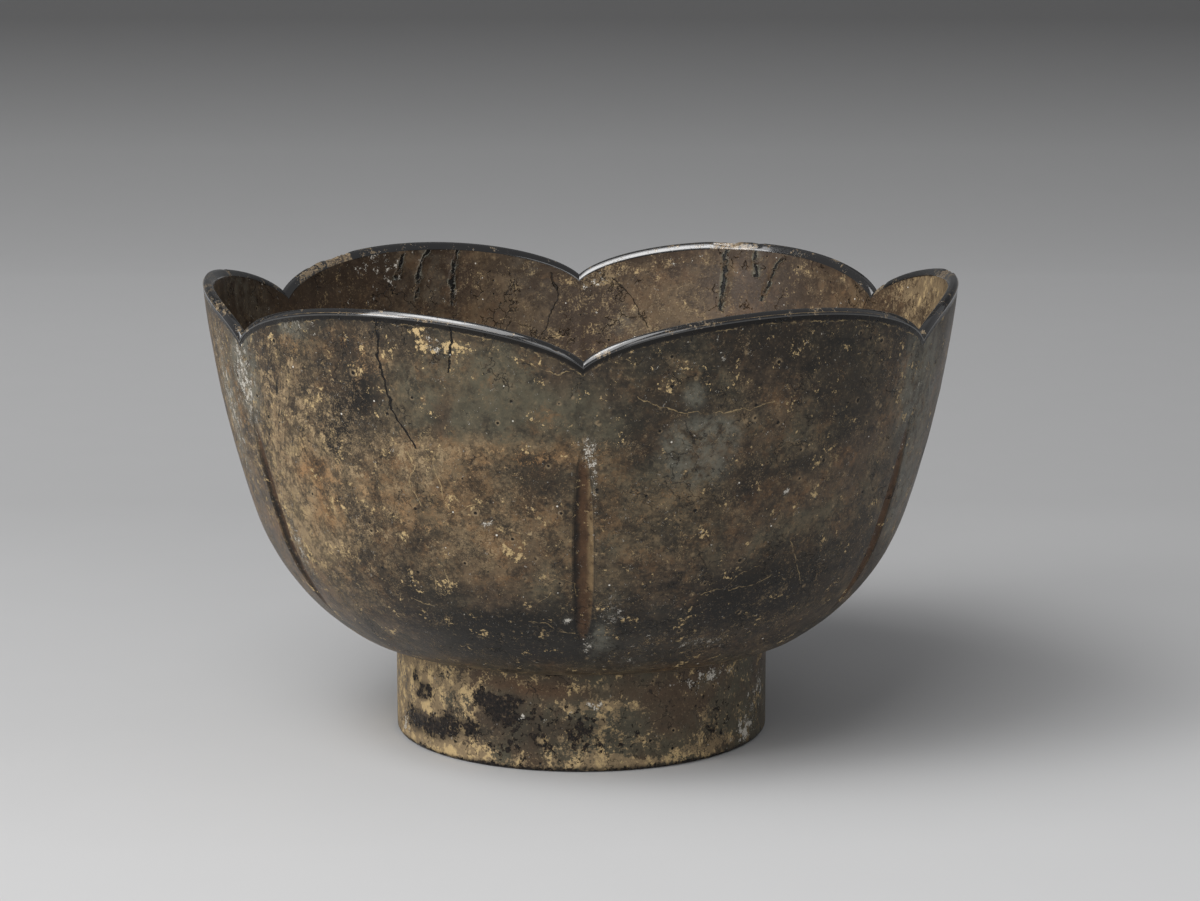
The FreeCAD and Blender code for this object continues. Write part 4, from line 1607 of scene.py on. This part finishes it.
def foot_shell(shape, name, face, columns, closed):
    """A shell on a face of the foot, with its back one coat behind it: mesh, rows, turns and places."""
    last = len(face) - 1
    section = [(number / last, 0.0) for number in range(len(face))]
    section += [(number / last, 1.0) for number in range(last, -1, -1)]
    mesh, row, depth, turn = turned_shell(name, section, columns, shape.lobe_count, closed)
    number = np.rint(row * last).astype(int)
    side, level, out, down = np.array(face).T[:, number]
    behind = depth * shape.lacquer_thickness
    return mesh, row, turn, place_on(mesh, side - out * behind, turn, level - down * behind)


class BOWL_OT_foot(bpy.types.Operator):
    """Build the lacquer on the outside of the foot"""

    bl_idname = "bowl.foot"
    bl_label = "Foot lacquer"

    def execute(self, context):
        shape = context.scene.bowl_shape
        face = foot_face(shape, shape.foot_radius, 1, shape.foot_height)
        mesh, _, turn, spots = foot_shell(shape, "foot_side_lacquer", face, FOOT_COLUMNS, closed=True)
        height = spots[:, 2]
        lay_map(mesh, turn, height, shape.foot_radius)
        share = noise_share(turn, front_turn=85, front_share=0.25)

        def spread(scale, shift):
            return wander(spots, scale, shift=shift) * share

        painted = [soft_spot(turn, height, table, shape.foot_radius) for table in FOOT_TABLES]
        worn = 0.16 * spread(34.0, 0.0) + painted[0]
        dark = np.maximum(0, 0.8 * spread(60.0, 3.0) - 0.1) + painted[1]
        stained = np.clip(painted[2] + np.maximum(0, spread(40.0, 7.0)), 0, 1)
        crusted = painted[3] + np.maximum(0, 0.4 * spread(50.0, 9.0))
        lay_masks(mesh, "zones", worn, dark, stained, crusted)
        finish_piece(mesh, "foot_lacquer", foot_finish(context.scene.bowl_colours))
        return {"FINISHED"}


class BOWL_OT_recess(bpy.types.Operator):
    """Build the lacquer in the recess under the foot"""

    bl_idname = "bowl.recess"
    bl_label = "Recess lacquer"

    def execute(self, context):
        shape = context.scene.bowl_shape
        side_at = shape.foot_radius - shape.foot_wall
        ceiling = shape.recess_height
        wall = foot_face(shape, side_at, -1, ceiling)[:-1]
        lid = [(radius, ceiling, 0.0, -1.0) for radius in np.linspace(side_at, 0, CEILING_POINTS)[1:]]
        face = (wall + [(side_at, ceiling, -1.0, -1.0)] + lid)[::-1]
        mesh, row, turn, spots = foot_shell(shape, "recess_lacquer", face, RECESS_COLUMNS, closed=False)
        lay_map(mesh, turn, row * (side_at + ceiling), side_at)
        lay_masks(mesh, "zones", 0.16 * wander(spots, 30.0), 0.16 * wander(spots, 40.0, shift=3.0))
        finish_piece(mesh, "base_lacquer", recess_finish(context.scene.bowl_colours))
        return {"FINISHED"}


def wood_finish(colours):
    """Pale wood with its grain upright, and fine pores."""
    finish = Finish("core_wood", colours)
    grain = finish.noise(finish.stretched(finish.place, (420.0, 420.0, 30.0)), 1.0, 5, 0.6, 0.6)
    pores = finish.noise(finish.stretched(finish.place, (3000.0, 3000.0, 160.0)), 1.0, 2, 0.5)
    stain = finish.noise(finish.place, 60.0, 4, 0.6)
    finish.toned = finish.blend(finish.between(grain, 0.35, 0.65), "inside_brown", "wood")
    finish.coat("inside_dark", finish.between(pores, 0.62, 0.7), 0.6)
    finish.coat("brown", finish.between(stain, 0.5, 0.7), 0.6)
    height = finish.sum_of(grain, finish.scaled(pores, -0.5))
    return finish.done(finish.scaled(grain, 0.2, 0.62), height, CORE_RELIEF)


# Threads round the bowl, and rows of the weave in a metre times a full turn
CLOTH_THREADS = 720.0
CLOTH_ROWS = 9000.0


def cloth_finish(colours):
    """Plain weave, with threads round the bowl and up its wall."""
    finish = Finish("cloth", colours)
    spot = finish.add("ShaderNodeSeparateXYZ", {0: finish.place}).outputs
    turn = finish.math("ARCTAN2", spot[1], spot[0])
    upright = finish.math("SINE", finish.scaled(turn, CLOTH_THREADS))
    level = finish.math("SINE", finish.scaled(spot[2], CLOTH_ROWS))
    fluff = finish.noise(finish.place, 1400.0, 4, 0.6)
    height = finish.sum_of(finish.product(upright, level), fluff)
    finish.toned = finish.blend(finish.between(height, -0.6, 1.4), "inside_brown", "cloth")
    return finish.done(finish.scaled(fluff, 0.1, 0.85), height, CORE_RELIEF)


def ground_finish(colours):
    """Lacquer mixed with ash: pale, dull and gritty."""
    finish = Finish("ground", colours)
    grit = finish.noise(finish.place, 1800.0, 4, 0.7)
    stain = finish.noise(finish.place, 80.0, 4, 0.6)
    finish.toned = finish.blend(finish.between(grit, 0.35, 0.65), "tan", "ground")
    finish.coat("brown", finish.between(stain, 0.45, 0.7), 0.5)
    return finish.done(finish.scaled(grit, 0.2, 0.75), grit, CORE_RELIEF)


CORE_FINISHES = {"core_wood": wood_finish, "cloth": cloth_finish, "ground": ground_finish}


class BOWL_OT_core(bpy.types.Operator):
    """Give the hidden wood, cloth and ground their finishes"""

    bl_idname = "bowl.core"
    bl_label = "Core, cloth and ground"

    def execute(self, context):
        colours = context.scene.bowl_colours
        finishes = {slot: make(colours) for slot, make in CORE_FINISHES.items()}
        slots = {part["node"]: part["material_slot"] for part in frame["record"]["subparts"]}
        for name, node in frame["nodes"].items():
            if slots[name] in finishes:
                node.data.materials.clear()
                node.data.materials.append(finishes[slots[name]])
        return {"FINISHED"}


SWEEP_DEPTH = 1.0
SWEEP_FRONT = 1.6
SWEEP_HALF_WIDTH = 2.6
SWEEP_RADIUS = 1.0
SWEEP_WALL = 1.2
SWEEP_BEND_STEPS = 48
PAPER_RELIEF = 0.02 * MILLIMETRE
PAPER_SCALE = 40.0

# An opening under the foot, which lets light into the recess for views from below
SWEEP_OPENING = 37 * MILLIMETRE

# How far behind the bowl the sweep has each grey: painted shade for the light's falloff towards the back
SWEEP_FALLOFF_TONES = (
    (-0.10, 210),
    (0.0, 201),
    (0.28, 187),
    (0.75, 199),
    (1.0, 203),
    (1.33, 165),
    (1.52, 113),
)


def studio_finish():
    """A pale floor with painted shade that darkens it with distance, for the light's falloff, so that the
    sweep behind the bowl falls off to grey.
    """
    finish = Finish("studio_sweep")
    parts = finish.add("ShaderNodeSeparateXYZ", {0: finish.place}).outputs
    nearest, farthest = SWEEP_FALLOFF_TONES[0][0], SWEEP_FALLOFF_TONES[-1][0]
    ramp = finish.add("ShaderNodeValToRGB", {0: finish.between(parts["Y"], nearest, farthest, soft=False)})
    stops = ramp.color_ramp.elements
    for place, _ in SWEEP_FALLOFF_TONES[1:-1]:
        stops.new((place - nearest) / (farthest - nearest))
    for stop, (_, tone) in zip(stops, SWEEP_FALLOFF_TONES):
        stop.color = opaque(paint(tone, tone, tone))
    paper = finish.noise(finish.place, PAPER_SCALE, 3)
    finish.toned = finish.shade(ramp.outputs[0], finish.scaled(paper, 0.02, 0.99))
    material = finish.done(finish.scaled(paper, 0.1, 0.85), paper, PAPER_RELIEF, Specular_IOR_Level=0.1)
    clear = finish.tree.nodes.new("ShaderNodeBsdfTransparent")
    under = finish.add("ShaderNodeNewGeometry", {}).outputs["Backfacing"]
    from_axis = finish.vector("LENGTH", finish.place, output="Value")
    under = finish.math("MAXIMUM", under, finish.math("LESS_THAN", from_axis, SWEEP_OPENING))
    both = finish.add("ShaderNodeMixShader", {0: under, 1: finish.shader.outputs[0], 2: clear.outputs[0]})
    output = finish.tree.nodes["Material Output"]
    finish.feed(output.inputs["Surface"], both.outputs[0])
    return material


def softbox(name, spot, aim, width, height, power):
    light = bpy.data.lights.new(name, "AREA")
    light.shape = "RECTANGLE"
    light.size = width
    light.size_y = height
    light.energy = power
    lamp = bpy.data.objects.new(name, light)
    lamp.location = spot
    lamp.rotation_euler = (Vector(aim) - Vector(spot)).to_track_quat("-Z", "Y").to_euler()
    bpy.context.scene.collection.objects.link(lamp)


def only(kind, items):
    return [item for item in items if isinstance(item, kind)]


def studio_sweep():
    """A level floor that bends up into a wall behind the bowl."""
    bm = bmesh.new()
    start = bm.verts.new((-SWEEP_HALF_WIDTH, -SWEEP_FRONT, 0))
    end = bm.verts.new((SWEEP_HALF_WIDTH, -SWEEP_FRONT, 0))
    edge = bm.edges.new((start, end))
    made = bmesh.ops.extrude_edge_only(bm, edges=[edge])["geom"]
    verts = only(bmesh.types.BMVert, made)
    bmesh.ops.translate(bm, verts=verts, vec=(0, SWEEP_FRONT + SWEEP_DEPTH, 0))
    bend = {"axis": (1, 0, 0), "cent": (0, SWEEP_DEPTH, SWEEP_RADIUS), "angle": math.pi / 2}
    geom = verts + only(bmesh.types.BMEdge, made)
    curve = bmesh.ops.spin(bm, geom=geom, steps=SWEEP_BEND_STEPS, use_merge=False, **bend)["geom_last"]
    made = bmesh.ops.extrude_edge_only(bm, edges=only(bmesh.types.BMEdge, curve))["geom"]
    bmesh.ops.translate(bm, verts=only(bmesh.types.BMVert, made), vec=(0, 0, SWEEP_WALL))
    bmesh.ops.remove_doubles(bm, verts=bm.verts, dist=SEAM_REACH)
    bmesh.ops.recalc_face_normals(bm, faces=bm.faces)
    mesh = bpy.data.meshes.new("studio_sweep")
    bm.to_mesh(mesh)
    bm.free()
    if mesh.polygons[0].normal.z < 0:
        mesh.flip_normals()
    mesh.shade_smooth()
    mesh.materials.append(studio_finish())
    return bpy.data.objects.new("studio_sweep", mesh)


# The camera: where it stands, how far it looks down and how far it is turned to the left, in degrees
CAMERA_SPOT = (-0.0035, -0.6308, 0.1717)
CAMERA_DIP = 9.61
CAMERA_TURN = -0.715
FILM_WIDTH = 36

# The softboxes: name, place, the point that each faces, width and height
SOFTBOXES = (
    ("key", (-0.95, -1.1, 1.8), (0, 0, 0.08), 2.2, 1.8),
    ("top", (-0.62, -0.58, 1.25), (0, 0, 0.08), 0.6, 0.5),
    ("side", (-1.5, -0.85, 0.7), (0, 0, 0.06), 0.5, 0.9),
    ("fill", (0.35, -1.9, 0.9), (0, 0, 0.06), 0.9, 0.9),
)
SURROUND_TONE = (206, 207, 210)


class BOWL_OT_studio(bpy.types.Operator):
    """Set up the sweep, the softboxes and the camera"""

    bl_idname = "bowl.studio"
    bl_label = "Studio"

    def execute(self, context):
        scene = context.scene
        studio = scene.bowl_studio
        sweep = studio_sweep()
        scene.collection.objects.link(sweep)
        for name, *placing in SOFTBOXES:
            softbox(f"{name}_softbox", *placing, getattr(studio, f"{name}_power"))

        world = bpy.data.worlds.new("surround")
        world.use_nodes = True
        scene.world = world
        background = world.node_tree.nodes["Background"]
        background.inputs["Color"].default_value = opaque(paint(*SURROUND_TONE))
        background.inputs["Strength"].default_value = studio.world_level

        camera = bpy.data.cameras.new("camera")
        camera.lens = studio.lens
        camera.sensor_width = FILM_WIDTH
        camera.sensor_fit = "HORIZONTAL"
        holder = bpy.data.objects.new("camera", camera)
        holder.location = CAMERA_SPOT
        holder.rotation_euler = Euler((math.radians(90 - CAMERA_DIP), 0, math.radians(CAMERA_TURN)))
        scene.collection.objects.link(holder)
        scene.camera = holder
        scene.view_settings.view_transform = "Standard"
        return {"FINISHED"}


class BOWL_PT_panel(bpy.types.Panel):
    """The pieces of the bowl, in the order in which they are built"""

    bl_label = "Lobed bowl"
    bl_space_type = "VIEW_3D"
    bl_region_type = "UI"
    bl_category = "Bowl"

    def draw(self, context):
        for operator in OPERATORS:
            self.layout.operator(operator.bl_idname)


OPERATORS = (
    BOWL_OT_outside,
    BOWL_OT_inside,
    BOWL_OT_rim,
    BOWL_OT_foot,
    BOWL_OT_recess,
    BOWL_OT_core,
    BOWL_OT_studio,
)
SETTINGS = {"bowl_shape": BowlShape, "bowl_colours": BowlColours, "bowl_studio": BowlStudio}


def register():
    for kind in (*SETTINGS.values(), *OPERATORS, BOWL_PT_panel):
        bpy.utils.register_class(kind)
    for name, kind in SETTINGS.items():
        setattr(bpy.types.Scene, name, PointerProperty(type=kind))


def unregister():
    for name in SETTINGS:
        delattr(bpy.types.Scene, name)
    for kind in (BOWL_PT_panel, *reversed(OPERATORS), *SETTINGS.values()):
        bpy.utils.unregister_class(kind)


def main():
    register()
    for operator in OPERATORS:
        module, name = operator.bl_idname.split(".")
        getattr(getattr(bpy.ops, module), name)()


if __name__ == "__main__":
    main()
